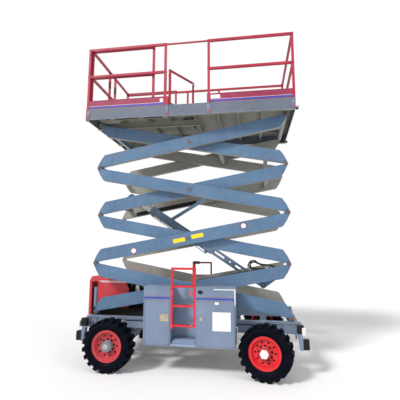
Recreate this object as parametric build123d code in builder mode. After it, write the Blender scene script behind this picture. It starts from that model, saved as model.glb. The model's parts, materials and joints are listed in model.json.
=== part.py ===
"""Rough-terrain scissor lift: wheeled chassis, four-level scissor stack, platform with a roll-out deck.

Millimetres. +X runs along the machine to the steered axle, +Y to the far side, +Z up.
The origin is on the ground, midway between the axles. The near side is -Y.
"""
from build123d import *
import os
from math import atan2, cos, degrees, hypot, radians, sin, sqrt

os.makedirs("parts", exist_ok=True)

FIT = 0.3                      # running clearance round pins and in slots
SEAT = 0.3                     # gap between a moving piece and what carries it

# Scissor stack
PIN_SPAN = 3270.0              # end pin to end pin along one arm
ARM_DEPTH = 200.0
ARM_GAP = 12.0                 # between arms when the stack is folded
ARM_THICK = 75.0
ARM_BOSS_R = 36.0
LIFT_ANGLE = 14.3              # slope of the pin line at the height that is drawn
OUTER_ARM_Y = 652.5            # middle of the outer arms' thickness
INNER_ARM_Y = 552.5
PIVOT_X = 1569.0               # fixed pivots, at the steered end
PIVOT_Z = 790.0
END_PIN_R = 20.0
MID_PIN_R = 30.0
TONGUE = 26.0                  # thickness of the ear inside a clevis
PIN_HEAD = 6.0
TORQUE_TUBE_R = 42.0
CROSS_TUBE = 70.0
LUG_TUBE_X = 1450.0             # tube that carries the cylinder's lugs
LUG_TUBE_Y = 68.0
ROLLER_R = 45.0

# Wheels and axles
WHEELBASE = 2360.0
TYRE_R = 385.0
TYRE_WIDTH = 264.0
WHEEL_Y = 988.0                # middle of the tyre
RIM_R = 228.0
LUG_HEIGHT = 24.0
LUG_COUNT = 20                 # in each of the two rows
LUG_WIDTH = 66.0               # along the tread
LUG_END = 8.0                  # lug's outer end inside the tyre's side
RIM_SEAT_DROP = 24.0           # bead seat below the flange's edge
RIM_FLANGE = 8.0
RIM_SIDE = 35.0                # flange inside the tyre's side
RIM_WALL = 8.0
DISC_R = 168.0                 # flat part of the wheel's disc
DISC_OFFSET = 46.0             # disc's outer face beyond the tyre's middle
DISC_THICK = 10.0
HAND_HOLES = 10
HAND_HOLE_R = 16.0
HAND_HOLE_RING = 146.0
HUB_R = 74.0
HUB_END = 118.0                # hub's outer end beyond the tyre's middle
HUB_CAP_R = 38.0
HUB_CAP = 14.0
KINGPIN_Y = 950.0
STEER_ANGLE = -14.0            # how far the steered wheels are turned
AXLE_R = 62.0
STUB_END = 9.5                 # axle's end beyond the tyre's middle
YOKE_HALF = 115.0              # half the gap between a yoke's ears
YOKE_EAR = 35.0
KINGPIN_R = 17.0

# Chassis
RAIL_Y = 700.0                 # outer face of the main rails
RAIL_WIDTH = 80.0
RAIL_TOP = 745.0
RAIL_DEPTH = 170.0
CHASSIS_END = 1700.0
BLOCK_REACH = 1790.0           # outer face of the lower rubber end blocks
BLOCK_DEPTH = 86.0
BLOCK_Y = 765.0                # inner side of the blocks and their brackets
BLOCK_WIDTH = 90.0
TRACK_Y = 462.0                # back of the slide tracks
TRACK_DEPTH = 48.0
TRACK_WALL = 8.0
TRACK_GAP = 10.0               # between the tracks' ends and the platform's end wall
TRACK_LENGTH = 1890.0
TRAY_Y = 458.0                 # engine tray on the cross beams
TRAY = 8.0

# Engine hood and engine
HOOD_LEFT = -1795.0
HOOD_RIGHT = -1080.0
HOOD_HALF = 455.0
HOOD_SHOULDER = 1285.0
HOOD_TOP = 1345.0
HOOD_FLAT = 380.0              # half width of the flat roof
HOOD_SHEET = 6.0
HOOD_ROOF_RIGHT = -1160.0      # where the roof ends and the corner slopes down
HOOD_CORNER = 1150.0           # height where the slope meets the hood's open end
VENT_LEFT = -1750.0            # side opening at the hood's closed end
VENT_RIGHT = -1642.0
POST_R = 34.0
POST_X = -1688.0
POST_Y = 408.0
POST_TOP = 1170.0
ENGINE_TOP = 1120.0

# Side cabinets
CABINET_FACE = 1050.0
CABINET_BACK = 722.0
CABINET_BOTTOM = 420.0
CABINET_TOP = 1265.0
CABINET_LEFT = -630.0
CABINET_RIGHT = 745.0
RECESS_LEFT = -215.0
RECESS_RIGHT = 165.0
RECESS_BACK = 800.0
RECESS_FLOOR = 455.0
SHEET = 5.0
DOOR_MARGIN = 18.0             # door's edge inside its cabinet's edge
DOOR_HEAD = 175.0              # door's upper edge below the cabinet's top
DOOR_OVERLAP = 12.0
HINGE_R = 7.0

# Platform
DECK_LEFT = -1760.0
DECK_RIGHT = 1712.0
DECK_Y = 930.0
FRAME_BELOW_PIN = 21.0         # frame's lower edge under the top pivots
FRAME_DEPTH = 185.0
FRAME_WALL = 8.0
FLANGE = 52.0
RIB_DEPTH = 68.0
DECK_PLATE = 12.0
RAIL_HEIGHT = 1105.0           # top of the guard rail above the frame
RAIL_TUBE = 38.0
MID_RAIL = 610.0
TOE_HEIGHT = 150.0
GATE_LEFT = -370.0
GATE_RIGHT = 325.0
ROLLOUT_RIGHT = -590.0
ROLLOUT_PLATE = 15.0
SOCKET = 52.0                  # gate post sockets on the frame's side
SOCKET_WALL = 10.0
SKID_Y = 735.0                 # roll-out deck's long channels under the floor
SKID_WIDTH = 36.0
SKID_DEPTH = 60.0
CORNER_ROLLER_R = 24.0
GATE_OPEN = 59.5               # how far the entry gate is swung in
GATE_LENGTH = 625.0
GATE_HEIGHT = 610.0
GATE_TUBE = 30.0
TUBE_R = 17.0                  # tube for the papers

# Lift cylinder, symmetrical about the second level's crossing
LUG_REACH_X = 1189.5
LUG_DROP_Z = 776.0
BARREL_R = 75.0
STAGE_R = 57.0                 # middle stage of the telescopic cylinder
ROD_R = 42.0
FORK_DEPTH = 110.0
BARREL_START = 1050.0          # along the cylinder, from its lower pin
BARREL_END = 2405.0
STAGE_START = 1263.0
STAGE_LENGTH = 1330.0
ROD_LENGTH = 1380.0
LUG_PIN_R = 25.0
STRUT_Y = 130.0                # guide strut's middle, on the near side
STRUT_WIDTH = 36.0
STRUT_DEPTH = 56.0
CARRIER_WIDTH = 48.0

pin_offset = (ARM_DEPTH + ARM_GAP) / 2
half_length = sqrt((PIN_SPAN / 2) ** 2 - pin_offset ** 2)
stow_angle = degrees(atan2(pin_offset, half_length))
arm_tilt = LIFT_ANGLE - stow_angle
level_rise = PIN_SPAN * sin(radians(LIFT_ANGLE))
level_run = PIN_SPAN * cos(radians(LIFT_ANGLE))
middle_x = PIVOT_X - level_run / 2
slide_x = PIVOT_X - level_run
rim_half = TYRE_WIDTH / 2 - RIM_SIDE
rim_seat = RIM_R - RIM_SEAT_DROP
block_back = BLOCK_REACH - BLOCK_DEPTH
track_end = -DECK_LEFT - FRAME_WALL - TRACK_GAP
frame_bottom = PIVOT_Z + 4 * level_rise - FRAME_BELOW_PIN
frame_top = frame_bottom + FRAME_DEPTH
arm_half = ARM_DEPTH / 2
top_z = PIVOT_Z + 4 * level_rise
clevis_slot = TONGUE + 2 * SEAT
tray_top = RAIL_TOP - 40 + TRAY
outer_face_y = OUTER_ARM_Y + ARM_THICK / 2
outer_inside_y = OUTER_ARM_Y - ARM_THICK / 2
inner_inside_y = INNER_ARM_Y - ARM_THICK / 2


def bar(x0, x1, y0, y1, z0, z1, mode=Mode.ADD):
    """A square-cut bar or plate between two corners, in the current part."""
    centre = ((x0 + x1) / 2, (y0 + y1) / 2, (z0 + z1) / 2)
    add(Box(abs(x1 - x0), abs(y1 - y0), abs(z1 - z0), mode=Mode.PRIVATE).moved(Location(centre)), mode=mode)


def finish(part, label):
    """Label a finished piece and write its file."""
    part.label = label
    export_step(part, f"parts/{label}.step")


def upright(y):
    """A plane that stands across the machine at y, with x along it and y up."""
    return Plane(origin=(0, y, 0), x_dir=(1, 0, 0), z_dir=(0, -1, 0))


def arm_plane(level, rises_right, y):
    """An arm's own plane: x from its low end to its high end, y up, origin at its middle pin."""
    side = 1 if rises_right else -1
    tilt = radians(arm_tilt)
    return Plane(
        origin=(middle_x, y, PIVOT_Z + (level - 0.5) * level_rise),
        x_dir=(side * cos(tilt), 0, sin(tilt)),
        z_dir=(0, -side, 0),
    )


# Side of an arm: a deep bar with bevelled ends and a pin boss at two opposite corners
with BuildSketch() as arm_side:
    with BuildLine():
        Polyline(
            (-half_length - 34, -pin_offset + 12),
            (-half_length + 50, -pin_offset + 125),
            (-half_length + 130, arm_half),
            (half_length, arm_half),
            (half_length + 34, pin_offset - 12),
            (half_length - 50, pin_offset - 125),
            (half_length - 130, -arm_half),
            (-half_length, -arm_half),
            close=True,
        )
    make_face()
    fillet([v for v in arm_side.vertices() if 40 < half_length - abs(v.X) < 140], 45)
    with Locations((-half_length, -pin_offset), (half_length, pin_offset)):
        Circle(ARM_BOSS_R)


def arm_pair(level, rises_right, arm_y, low_end, high_end):
    """Near and far arms of one frame, with their ears cut and their pins in place."""
    ends = (("low", -1, low_end), ("high", 1, high_end))
    ring = ARM_BOSS_R + 8
    ear_mid = (ARM_THICK + TONGUE) / 4
    with BuildPart() as pair:
        with BuildSketch(arm_plane(level, rises_right, -arm_y)):
            add(arm_side.sketch)
        extrude(amount=ARM_THICK / 2, both=True)
        for end, side, form in ends:
            spot = (side * half_length, side * pin_offset)
            if form == "tongue":
                for offset in (-1, 1):
                    y = -arm_y + offset * ear_mid
                    with BuildSketch(arm_plane(level, rises_right, y)):
                        with Locations(spot):
                            Circle(ring)
                    extrude(amount=(ARM_THICK - TONGUE) / 4, both=True, mode=Mode.SUBTRACT)
                with BuildSketch(arm_plane(level, rises_right, -arm_y)):
                    with Locations(spot):
                        Circle(END_PIN_R + FIT)
                extrude(amount=TONGUE, both=True, mode=Mode.SUBTRACT)
            if form == "clevis":
                with BuildSketch(arm_plane(level, rises_right, -arm_y)):
                    with Locations(spot):
                        Circle(ring)
                extrude(amount=clevis_slot / 2, both=True, mode=Mode.SUBTRACT)
                with BuildSketch(arm_plane(level, rises_right, -arm_y)):
                    with Locations(spot):
                        Circle(END_PIN_R)
                extrude(amount=ARM_THICK / 2 + PIN_HEAD, both=True)
        mirror(about=Plane.XZ)
    return pair.part


# Outer frames. Columns: level, rises to the right, low end, high end, ends with a torque tube
OUTER_FRAMES = (
    (1, False, "clevis", "clevis", ("low",)),
    (2, True, "tongue", "clevis", ("high",)),
    (3, False, "tongue", "clevis", ("high",)),
    (4, True, "tongue", "clevis", ("high",)),
)
for level, rises_right, low_end, high_end, tubes in OUTER_FRAMES:
    arms = arm_pair(level, rises_right, OUTER_ARM_Y, low_end, high_end)
    middle = arm_plane(level, rises_right, 0)
    with BuildPart() as outer_frame:
        add(arms)
        for end in tubes:
            side = -1 if end == "low" else 1
            with BuildSketch(middle):
                with Locations((side * half_length, side * pin_offset)):
                    Circle(TORQUE_TUBE_R)
                    Circle(TORQUE_TUBE_R - 10, mode=Mode.SUBTRACT)
            extrude(amount=outer_inside_y, both=True)
        for y in (-1, 1):
            with BuildSketch(arm_plane(level, rises_right, y * (outer_face_y + inner_inside_y) / 2)):
                Circle(MID_PIN_R)
            extrude(amount=(outer_face_y - inner_inside_y) / 2, both=True)
            with BuildSketch(arm_plane(level, rises_right, y * (outer_face_y + 2))):
                Circle(MID_PIN_R + 18)
            extrude(amount=2, both=True)
    finish(outer_frame.part, f"outer_frame_{level}")

# Inner frames. Columns: level, rises to the right, low end, high end, cross tubes (x, y) along the arm
INNER_FRAMES = (
    (1, True, "roller", "clevis", ((LUG_TUBE_X, -LUG_TUBE_Y), (-300, 0))),
    (2, False, "tongue", "clevis", ((540, 0), (-1300, 0))),
    (3, True, "tongue", "clevis", ((-LUG_TUBE_X, LUG_TUBE_Y), (700, 0), (1300, 0))),
    (4, False, "tongue", "roller", ((1475, 0), (-500, 0), (-1300, 0))),
)
LUG_PLATE_Y = 95.0             # inner faces of the lug plates
LUG_PLATE = 18.0
lug_x = LUG_REACH_X * cos(radians(arm_tilt)) + (level_rise - LUG_DROP_Z) * sin(radians(arm_tilt))
lug_y = (level_rise - LUG_DROP_Z) * cos(radians(arm_tilt)) - LUG_REACH_X * sin(radians(arm_tilt))
for level, rises_right, low_end, high_end, tubes in INNER_FRAMES:
    arms = arm_pair(level, rises_right, INNER_ARM_Y, low_end, high_end)
    middle = arm_plane(level, rises_right, 0)
    with BuildPart() as inner_frame:
        add(arms)
        with BuildSketch(middle):
            with Locations(*tubes):
                Rectangle(CROSS_TUBE, CROSS_TUBE)
                Rectangle(CROSS_TUBE - 16, CROSS_TUBE - 16, mode=Mode.SUBTRACT)
        extrude(amount=inner_inside_y + 5, both=True)
        for y in (-1, 1):
            with BuildSketch(arm_plane(level, rises_right, y * INNER_ARM_Y)):
                Circle(MID_PIN_R + FIT)
            extrude(amount=ARM_THICK, both=True, mode=Mode.SUBTRACT)
        for end, side, form in (("low", -1, low_end), ("high", 1, high_end)):
            if form == "roller":
                spot = (side * half_length, side * pin_offset)
                for y in (-1, 1):
                    with BuildSketch(arm_plane(level, rises_right, y * (inner_inside_y - 20))):
                        with Locations(spot):
                            Circle(END_PIN_R)
                    extrude(amount=22, both=True)
                    with BuildSketch(arm_plane(level, rises_right, y * (inner_inside_y - 22))):
                        with Locations(spot):
                            Circle(ROLLER_R)
                    extrude(amount=15, both=True)
        if level in (1, 3):
            side = 1 if level == 1 else -1
            for y in (-1, 1):
                plate_y = y * (LUG_PLATE_Y + LUG_PLATE / 2)
                with BuildSketch(arm_plane(level, rises_right, plate_y)):
                    with BuildLine():
                        Polyline(
                            (side * (lug_x - 45), side * (lug_y - 40)),
                            (side * (lug_x + 40), side * (lug_y - 45)),
                            (side * (LUG_TUBE_X + CROSS_TUBE / 2), -side * (LUG_TUBE_Y + CROSS_TUBE / 2)),
                            (side * (LUG_TUBE_X + CROSS_TUBE / 2), -side * (LUG_TUBE_Y - CROSS_TUBE / 2)),
                            (side * (LUG_TUBE_X - CROSS_TUBE / 2), -side * (LUG_TUBE_Y - CROSS_TUBE / 2)),
                            (side * (lug_x - 45), side * (lug_y + 40)),
                            close=True,
                        )
                    make_face()
                    with Locations((side * lug_x, side * lug_y)):
                        Circle(60)
                        Circle(LUG_PIN_R, mode=Mode.SUBTRACT)
                extrude(amount=LUG_PLATE / 2, both=True)
            if level == 1:
                with BuildSketch(middle):
                    with Locations((side * lug_x, side * lug_y)):
                        Circle(LUG_PIN_R)
                extrude(amount=LUG_PLATE_Y + LUG_PLATE + PIN_HEAD, both=True)
    finish(inner_frame.part, f"inner_frame_{level}")

# Lift cylinder
second_crossing_z = PIVOT_Z + 1.5 * level_rise
cylinder_angle = atan2(LUG_DROP_Z, LUG_REACH_X)
cylinder_length = 2 * hypot(LUG_REACH_X, LUG_DROP_Z)
cylinder_base = (middle_x + LUG_REACH_X, 0, second_crossing_z - LUG_DROP_Z)
along = (-cos(cylinder_angle), 0, sin(cylinder_angle))
cylinder_side = Plane(origin=cylinder_base, x_dir=along, z_dir=(0, 1, 0))


def cylinder_section(distance):
    """A plane across the cylinder at a distance from its lower pin."""
    return Plane(origin=cylinder_side.from_local_coords((distance, 0, 0)), x_dir=(0, 1, 0), z_dir=along)


# Windows in the fork's plates. Columns: place along the cylinder, length between round ends, depth
FORK_WINDOWS = ((450, 205, 44), (681, 8, 36), (912, 190, 44))
with BuildPart() as barrel:
    with BuildSketch(cylinder_section(BARREL_START)):
        Circle(BARREL_R)
    extrude(amount=BARREL_END - BARREL_START)
    with BuildSketch(cylinder_section(BARREL_END - 90)):
        Circle(BARREL_R + 10)
    extrude(amount=90)
    with BuildSketch(cylinder_section(BARREL_START + 25)):
        Circle(STAGE_R + FIT)
    extrude(amount=BARREL_END, mode=Mode.SUBTRACT)
    for y in (-1, 1):
        with BuildSketch(Plane(origin=(0, y * 82, 0) + Vector(cylinder_base), x_dir=along, z_dir=(0, 1, 0))):
            with Locations((BARREL_START / 2 + 60, 0)):
                SlotCenterToCenter(BARREL_START + 120, FORK_DEPTH)
            with Locations((0, 0)):
                Circle(LUG_PIN_R + FIT, mode=Mode.SUBTRACT)
            for place, length, depth in FORK_WINDOWS:
                with Locations((place, 0)):
                    SlotCenterToCenter(length, depth, mode=Mode.SUBTRACT)
        extrude(amount=7.5, both=True)
    with BuildSketch(cylinder_section(BARREL_START - 40)):
        Rectangle(160, FORK_DEPTH)
    extrude(amount=50)
finish(barrel.part, "cylinder_barrel")

with BuildPart() as stage:
    with BuildSketch(cylinder_section(STAGE_START)):
        Circle(STAGE_R)
        Circle(ROD_R + FIT, mode=Mode.SUBTRACT)
    extrude(amount=STAGE_LENGTH)
finish(stage.part, "cylinder_stage")

with BuildPart() as rod:
    with BuildSketch(cylinder_section(cylinder_length - ROD_LENGTH)):
        Circle(ROD_R)
    extrude(amount=ROD_LENGTH - 40)
    with BuildSketch(cylinder_side):
        with Locations((cylinder_length, 0)):
            Circle(55)
            Circle(LUG_PIN_R + FIT, mode=Mode.SUBTRACT)
    extrude(amount=LUG_PLATE_Y - 5, both=True)
finish(rod.part, "cylinder_rod")

# Hydraulic hoses on the lowest inner frame, clamped at both ends
HOSE_R = 9.0
HOSE_Y = (-494.0, -468.0, -442.0)
HOSE_RUN = ((1425, 88), (1340, 150), (1190, 150), (1110, 262), (1005, 225), (1040, 118), (1300, 96))
with BuildPart() as hoses:
    for x, z in (HOSE_RUN[0], HOSE_RUN[-1]):
        with BuildSketch(arm_plane(1, True, -(inner_inside_y + 415) / 2)):
            with Locations((x, z - 8)):
                Rectangle(44, 52)
        extrude(amount=(inner_inside_y - 415) / 2 - SEAT, both=True)
    for y in HOSE_Y:
        with BuildLine(arm_plane(1, True, y)) as run:
            FilletPolyline(*HOSE_RUN, radius=42)
        with BuildSketch(Plane(origin=run.line @ 0, z_dir=run.line % 0)):
            Circle(HOSE_R)
        sweep(path=run.line)
finish(hoses.part, "lift_hoses")

# Guide strut beside the cylinder, hung from the near arm of the third inner frame
strut_top = (186, -126)
strut_foot = (-492, -375)
strut_angle = degrees(atan2(strut_top[1] - strut_foot[1], strut_top[0] - strut_foot[0]))
strut_length = hypot(strut_top[0] - strut_foot[0], strut_top[1] - strut_foot[1])
with BuildPart() as strut:
    with BuildSketch(arm_plane(3, True, -STRUT_Y)):
        with Locations(Location(((strut_top[0] + strut_foot[0]) / 2, (strut_top[1] + strut_foot[1]) / 2, 0),
                                (0, 0, strut_angle))):
            SlotCenterToCenter(strut_length, STRUT_DEPTH)
    extrude(amount=STRUT_WIDTH / 2, both=True)
    with BuildSketch(arm_plane(3, True, -STRUT_Y)):
        with Locations(strut_top):
            Circle(22)
    extrude(amount=inner_inside_y - STRUT_Y)
    with BuildSketch(arm_plane(3, True, -inner_inside_y + 6)):
        with Locations((strut_top[0], strut_top[1] + 40)):
            Rectangle(70, 140)
    extrude(amount=6, both=True)
finish(strut.part, "guide_strut")

# Hose carrier along the far arm of the third inner frame
with BuildPart() as carrier:
    with BuildSketch(arm_plane(3, True, inner_inside_y - CARRIER_WIDTH / 2)):
        with Locations((-700, -58)):
            Rectangle(1240, 70)
    extrude(amount=CARRIER_WIDTH / 2, both=True)
finish(carrier.part, "hose_carrier")


def make_tyre():
    """A tyre about the Z axis, its middle at the origin: a faceted carcass with two rows of block lugs."""
    tread = TYRE_R - LUG_HEIGHT
    half = TYRE_WIDTH / 2
    bead = rim_half - RIM_FLANGE - SEAT
    lug_top = sqrt(TYRE_R ** 2 - (LUG_WIDTH / 2) ** 2)
    # Sections: distance from the middle, radius to the flats
    sections = (
        (-half, RIM_R + 72), (-half + 5, tread - 28), (-half + 34, tread),
        (half - 34, tread), (half - 5, tread - 28), (half, RIM_R + 72),
    )
    with BuildPart() as tyre:
        for height, radius in sections:
            with BuildSketch(Plane.XY.offset(height)):
                RegularPolygon(radius, 2 * LUG_COUNT, major_radius=False, rotation=90 / LUG_COUNT)
        loft(ruled=True)
        with BuildSketch(Plane.XZ):
            with BuildLine():
                Polyline((0, 0), (rim_seat + SEAT, 0), (rim_seat + SEAT, bead), (RIM_R + 3, bead),
                         (RIM_R + 60, half), (RIM_R + 60, half + 5), (0, half + 5), close=True)
            make_face()
            mirror(about=Plane.XZ)
        revolve(axis=Axis.Z, mode=Mode.SUBTRACT)
        for row in (-1, 1):
            with BuildSketch(Plane.XY.offset(row * (half - LUG_END + 4) / 2)):
                lug_middle = (tread - 8 + lug_top) / 2
                with PolarLocations(lug_middle, LUG_COUNT, start_angle=(row + 1) * 90 / LUG_COUNT):
                    Rectangle(lug_top - tread + 8, LUG_WIDTH)
            extrude(amount=(half - LUG_END - 4) / 2, both=True)
    return tyre.part


def make_rim():
    """A disc wheel about the Z axis, its outer side to +Z, with hand holes and its hub."""
    barrel_r = rim_seat - RIM_WALL
    disc_back = DISC_OFFSET - DISC_THICK
    with BuildPart() as rim:
        with BuildSketch(Plane.XZ):
            with BuildLine():
                Polyline(
                    (barrel_r, -rim_half), (RIM_R, -rim_half), (RIM_R, RIM_FLANGE - rim_half),
                    (rim_seat, RIM_FLANGE - rim_half), (rim_seat, rim_half - RIM_FLANGE),
                    (RIM_R, rim_half - RIM_FLANGE), (RIM_R, rim_half), (rim_seat - 4, rim_half),
                    (DISC_R, DISC_OFFSET), (0, DISC_OFFSET), (0, disc_back), (DISC_R + 4, disc_back),
                    (barrel_r, disc_back + 24), close=True,
                )
            make_face()
        revolve(axis=Axis.Z)
        with BuildSketch(Plane.XY.offset(disc_back - 1)):
            with PolarLocations(HAND_HOLE_RING, HAND_HOLES):
                Circle(HAND_HOLE_R)
        extrude(amount=DISC_THICK + 2, mode=Mode.SUBTRACT)
        with BuildSketch(Plane.XY.offset(STUB_END + FIT)):
            Circle(HUB_R)
        extrude(amount=HUB_END - STUB_END - FIT)
        with BuildSketch(Plane.XY.offset(HUB_END)):
            Circle(HUB_CAP_R)
        extrude(amount=HUB_CAP)
    return rim.part


# Wheels. Columns: name, x, side (-1 near, 1 far), steered
WHEELS = (
    ("near_rear", -WHEELBASE / 2, -1, False),
    ("far_rear", -WHEELBASE / 2, 1, False),
    ("near_front", WHEELBASE / 2, -1, True),
    ("far_front", WHEELBASE / 2, 1, True),
)
plain_tyre = make_tyre()
plain_rim = make_rim()


def wheel_place(x, side, steered):
    """Where a wheel stands: its middle, its turn about the kingpin, its outer side outward."""
    turn = STEER_ANGLE if steered else 0.0
    reach = side * (WHEEL_Y - KINGPIN_Y)
    centre = (x - reach * sin(radians(turn)), side * KINGPIN_Y + reach * cos(radians(turn)), TYRE_R)
    outward = (-side * sin(radians(turn)), side * cos(radians(turn)), 0)
    return Plane(origin=centre, x_dir=(cos(radians(turn)), sin(radians(turn)), 0), z_dir=outward)


for name, x, side, steered in WHEELS:
    place = wheel_place(x, side, steered).location
    tyre = place * plain_tyre
    finish(tyre, f"tyre_{name}")
    rim = place * plain_rim
    finish(rim, f"rim_{name}")

# Steering knuckles: a kingpin post and a stub to the hub
for side, name in ((-1, "near"), (1, "far")):
    place = wheel_place(WHEELBASE / 2, side, True)
    with BuildPart() as knuckle:
        with BuildSketch(Plane(origin=(WHEELBASE / 2, side * KINGPIN_Y, TYRE_R - YOKE_HALF + SEAT))):
            Circle(26)
        extrude(amount=2 * (YOKE_HALF - SEAT))
        with BuildSketch(Plane(origin=(WHEELBASE / 2, side * KINGPIN_Y, TYRE_R - YOKE_HALF - YOKE_EAR))):
            Circle(KINGPIN_R)
        extrude(amount=2 * (YOKE_HALF + YOKE_EAR))
        with BuildSketch(Plane(origin=place.origin, x_dir=place.x_dir, z_dir=place.z_dir).offset(-70)):
            Circle(55)
        extrude(amount=70 + STUB_END)
    finish(knuckle.part, f"knuckle_{name}")

# Drive axle at the unsteered end, steered axle beam with yokes
with BuildPart() as drive_axle:
    with BuildSketch(Plane(origin=(-WHEELBASE / 2, 0, TYRE_R), x_dir=(1, 0, 0), z_dir=(0, 1, 0))):
        Circle(AXLE_R)
    extrude(amount=WHEEL_Y + STUB_END, both=True)
    with BuildSketch(Plane(origin=(-WHEELBASE / 2, 0, TYRE_R), x_dir=(1, 0, 0), z_dir=(0, 1, 0))):
        Circle(150)
    extrude(amount=120, both=True)
    for side in (-1, 1):
        bar(-WHEELBASE / 2 - 60, -WHEELBASE / 2 + 60, side * (RAIL_Y - RAIL_WIDTH), side * RAIL_Y, TYRE_R,
            RAIL_TOP - RAIL_DEPTH)
finish(drive_axle.part, "drive_axle")

with BuildPart() as steer_axle:
    bar(WHEELBASE / 2 - 55, WHEELBASE / 2 + 55, -810, 810, TYRE_R - 60, TYRE_R + 60)
    for side in (-1, 1):
        for low in (-YOKE_HALF - YOKE_EAR, YOKE_HALF):
            bar(WHEELBASE / 2 - 40, WHEELBASE / 2 + 40, side * 800, side * (KINGPIN_Y + 30), TYRE_R + low,
                TYRE_R + low + YOKE_EAR)
        bar(WHEELBASE / 2 - 40, WHEELBASE / 2 + 40, side * 800, side * 830, TYRE_R - YOKE_HALF - YOKE_EAR,
            TYRE_R + YOKE_HALF + YOKE_EAR)
        with BuildSketch(Plane(origin=(WHEELBASE / 2, side * KINGPIN_Y, TYRE_R - YOKE_HALF - YOKE_EAR))):
            Circle(KINGPIN_R + FIT)
        extrude(amount=2 * (YOKE_HALF + YOKE_EAR), mode=Mode.SUBTRACT)
        bar(WHEELBASE / 2 - 60, WHEELBASE / 2 + 60, side * (RAIL_Y - RAIL_WIDTH), side * RAIL_Y, TYRE_R + 50,
            RAIL_TOP - RAIL_DEPTH)
    with BuildSketch(Plane(origin=(WHEELBASE / 2 - 105, 0, TYRE_R), x_dir=(1, 0, 0), z_dir=(0, 1, 0))):
        Circle(36)
    extrude(amount=330, both=True)
    for y in (-230, 200):
        bar(WHEELBASE / 2 - 105, WHEELBASE / 2 - 50, y, y + 30, TYRE_R - 40, TYRE_R + 40)
finish(steer_axle.part, "steer_axle")

# Main frame
with BuildPart() as chassis:
    for side in (-1, 1):
        inner = side * (RAIL_Y - RAIL_WIDTH)
        outer = side * RAIL_Y
        bar(-CHASSIS_END, CHASSIS_END, inner, outer, RAIL_TOP - RAIL_DEPTH, RAIL_TOP)
        bar(-CHASSIS_END, CHASSIS_END, outer, side * (RAIL_Y + 12), RAIL_TOP - 30, RAIL_TOP - 12)
        tongue_low = side * (OUTER_ARM_Y - TONGUE / 2)
        tongue_high = side * (OUTER_ARM_Y + TONGUE / 2)
        with BuildSketch(upright(side * OUTER_ARM_Y)):
            with Locations((PIVOT_X, PIVOT_Z)):
                Circle(ARM_BOSS_R)
            with Locations((PIVOT_X, (PIVOT_Z + RAIL_TOP) / 2 - 10)):
                Rectangle(2 * ARM_BOSS_R, PIVOT_Z - RAIL_TOP + 20)
            with Locations((PIVOT_X, PIVOT_Z)):
                Circle(END_PIN_R + FIT, mode=Mode.SUBTRACT)
        extrude(amount=TONGUE / 2, both=True)
    for x in (-1600, -760, 640, 1640):
        bar(x - 50, x + 50, -(RAIL_Y - RAIL_WIDTH), RAIL_Y - RAIL_WIDTH,
            RAIL_TOP - RAIL_DEPTH, RAIL_TOP - 40)
    bar(POST_X - 40, -710, -TRAY_Y, TRAY_Y, RAIL_TOP - 40, tray_top)
    with BuildSketch(Plane(origin=(POST_X, -POST_Y, tray_top))):
        Circle(POST_R)
    extrude(amount=POST_TOP - tray_top)
    for end in (-1, 1):
        for side in (-1, 1):
            bar(end * (CHASSIS_END - 120), end * CHASSIS_END, side * RAIL_Y,
                side * (BLOCK_Y + BLOCK_WIDTH), 596, 612)
            with BuildSketch(upright(side * (BLOCK_Y + BLOCK_WIDTH / 2))):
                with BuildLine():
                    Polyline((end * (CHASSIS_END - 60), 612), (end * CHASSIS_END, 612),
                             (end * block_back, 540), (end * block_back, 385),
                             (end * (block_back - 40), 385), close=True)
                make_face()
            extrude(amount=BLOCK_WIDTH / 2, both=True)
finish(chassis.part, "chassis_frame")

with BuildPart() as end_blocks:
    for end in (-1, 1):
        for side in (-1, 1):
            y0 = side * BLOCK_Y
            y1 = side * (BLOCK_Y + BLOCK_WIDTH)
            bar(end * block_back, end * BLOCK_REACH, y0, y1, 395, 533)
            bar(end * (CHASSIS_END - 70), end * (CHASSIS_END + 18), y0, y1, 612, 729)
finish(end_blocks.part, "end_blocks")

# Slide tracks for the lowest inner frame's rollers
with BuildPart() as slide_tracks:
    for side in (-1, 1):
        start = (-track_end, side * TRACK_Y, PIVOT_Z)
        with BuildSketch(Plane(origin=start, x_dir=(0, side, 0), z_dir=(side, 0, 0))):
            with Locations((TRACK_DEPTH / 2, 0)):
                Rectangle(TRACK_DEPTH, 2 * (ROLLER_R + SEAT + TRACK_WALL))
            with Locations((TRACK_DEPTH / 2 + TRACK_WALL, 0)):
                Rectangle(TRACK_DEPTH, 2 * (ROLLER_R + SEAT), mode=Mode.SUBTRACT)
        extrude(amount=side * TRACK_LENGTH)
        for x in (-1600, -760):
            bar(x - 50, x + 50, side * TRACK_Y, side * (TRACK_Y + TRACK_DEPTH), RAIL_TOP - 40,
                PIVOT_Z - ROLLER_R - SEAT)
finish(slide_tracks.part, "slide_tracks")

# Engine and its hood, between the arms at the unsteered end
# Flywheel, pulleys and fan. Columns: near end along X, centre height, radius, far end along X
ENGINE_WHEELS = ((-960, 930, 150, -925), (-925, 930, 60, -895), (-960, 1090, 70, -905))
with BuildPart() as engine:
    bar(-1560, -1110, -270, 270, tray_top + SEAT, ENGINE_TOP)
    bar(-1110, -960, -200, 200, tray_top + SEAT, ENGINE_TOP - 60)
    bar(-1500, -1130, -110, 110, ENGINE_TOP, ENGINE_TOP + 70)
    for reach, height, radius, end in ENGINE_WHEELS:
        with BuildSketch(Plane(origin=(reach, 0, height), x_dir=(0, 1, 0), z_dir=(1, 0, 0))):
            Circle(radius)
        extrude(amount=end - reach)
    with BuildSketch(Plane(origin=(-1130, -190, 1195), x_dir=(0, 1, 0), z_dir=(1, 0, 0))):
        Circle(78)
    extrude(amount=260)
    bar(-1110, -1050, -230, -150, ENGINE_TOP - 70, 1150)
    bar(-1050, -880, -330, -200, tray_top + SEAT, 860)
finish(engine.part, "engine")

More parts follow.
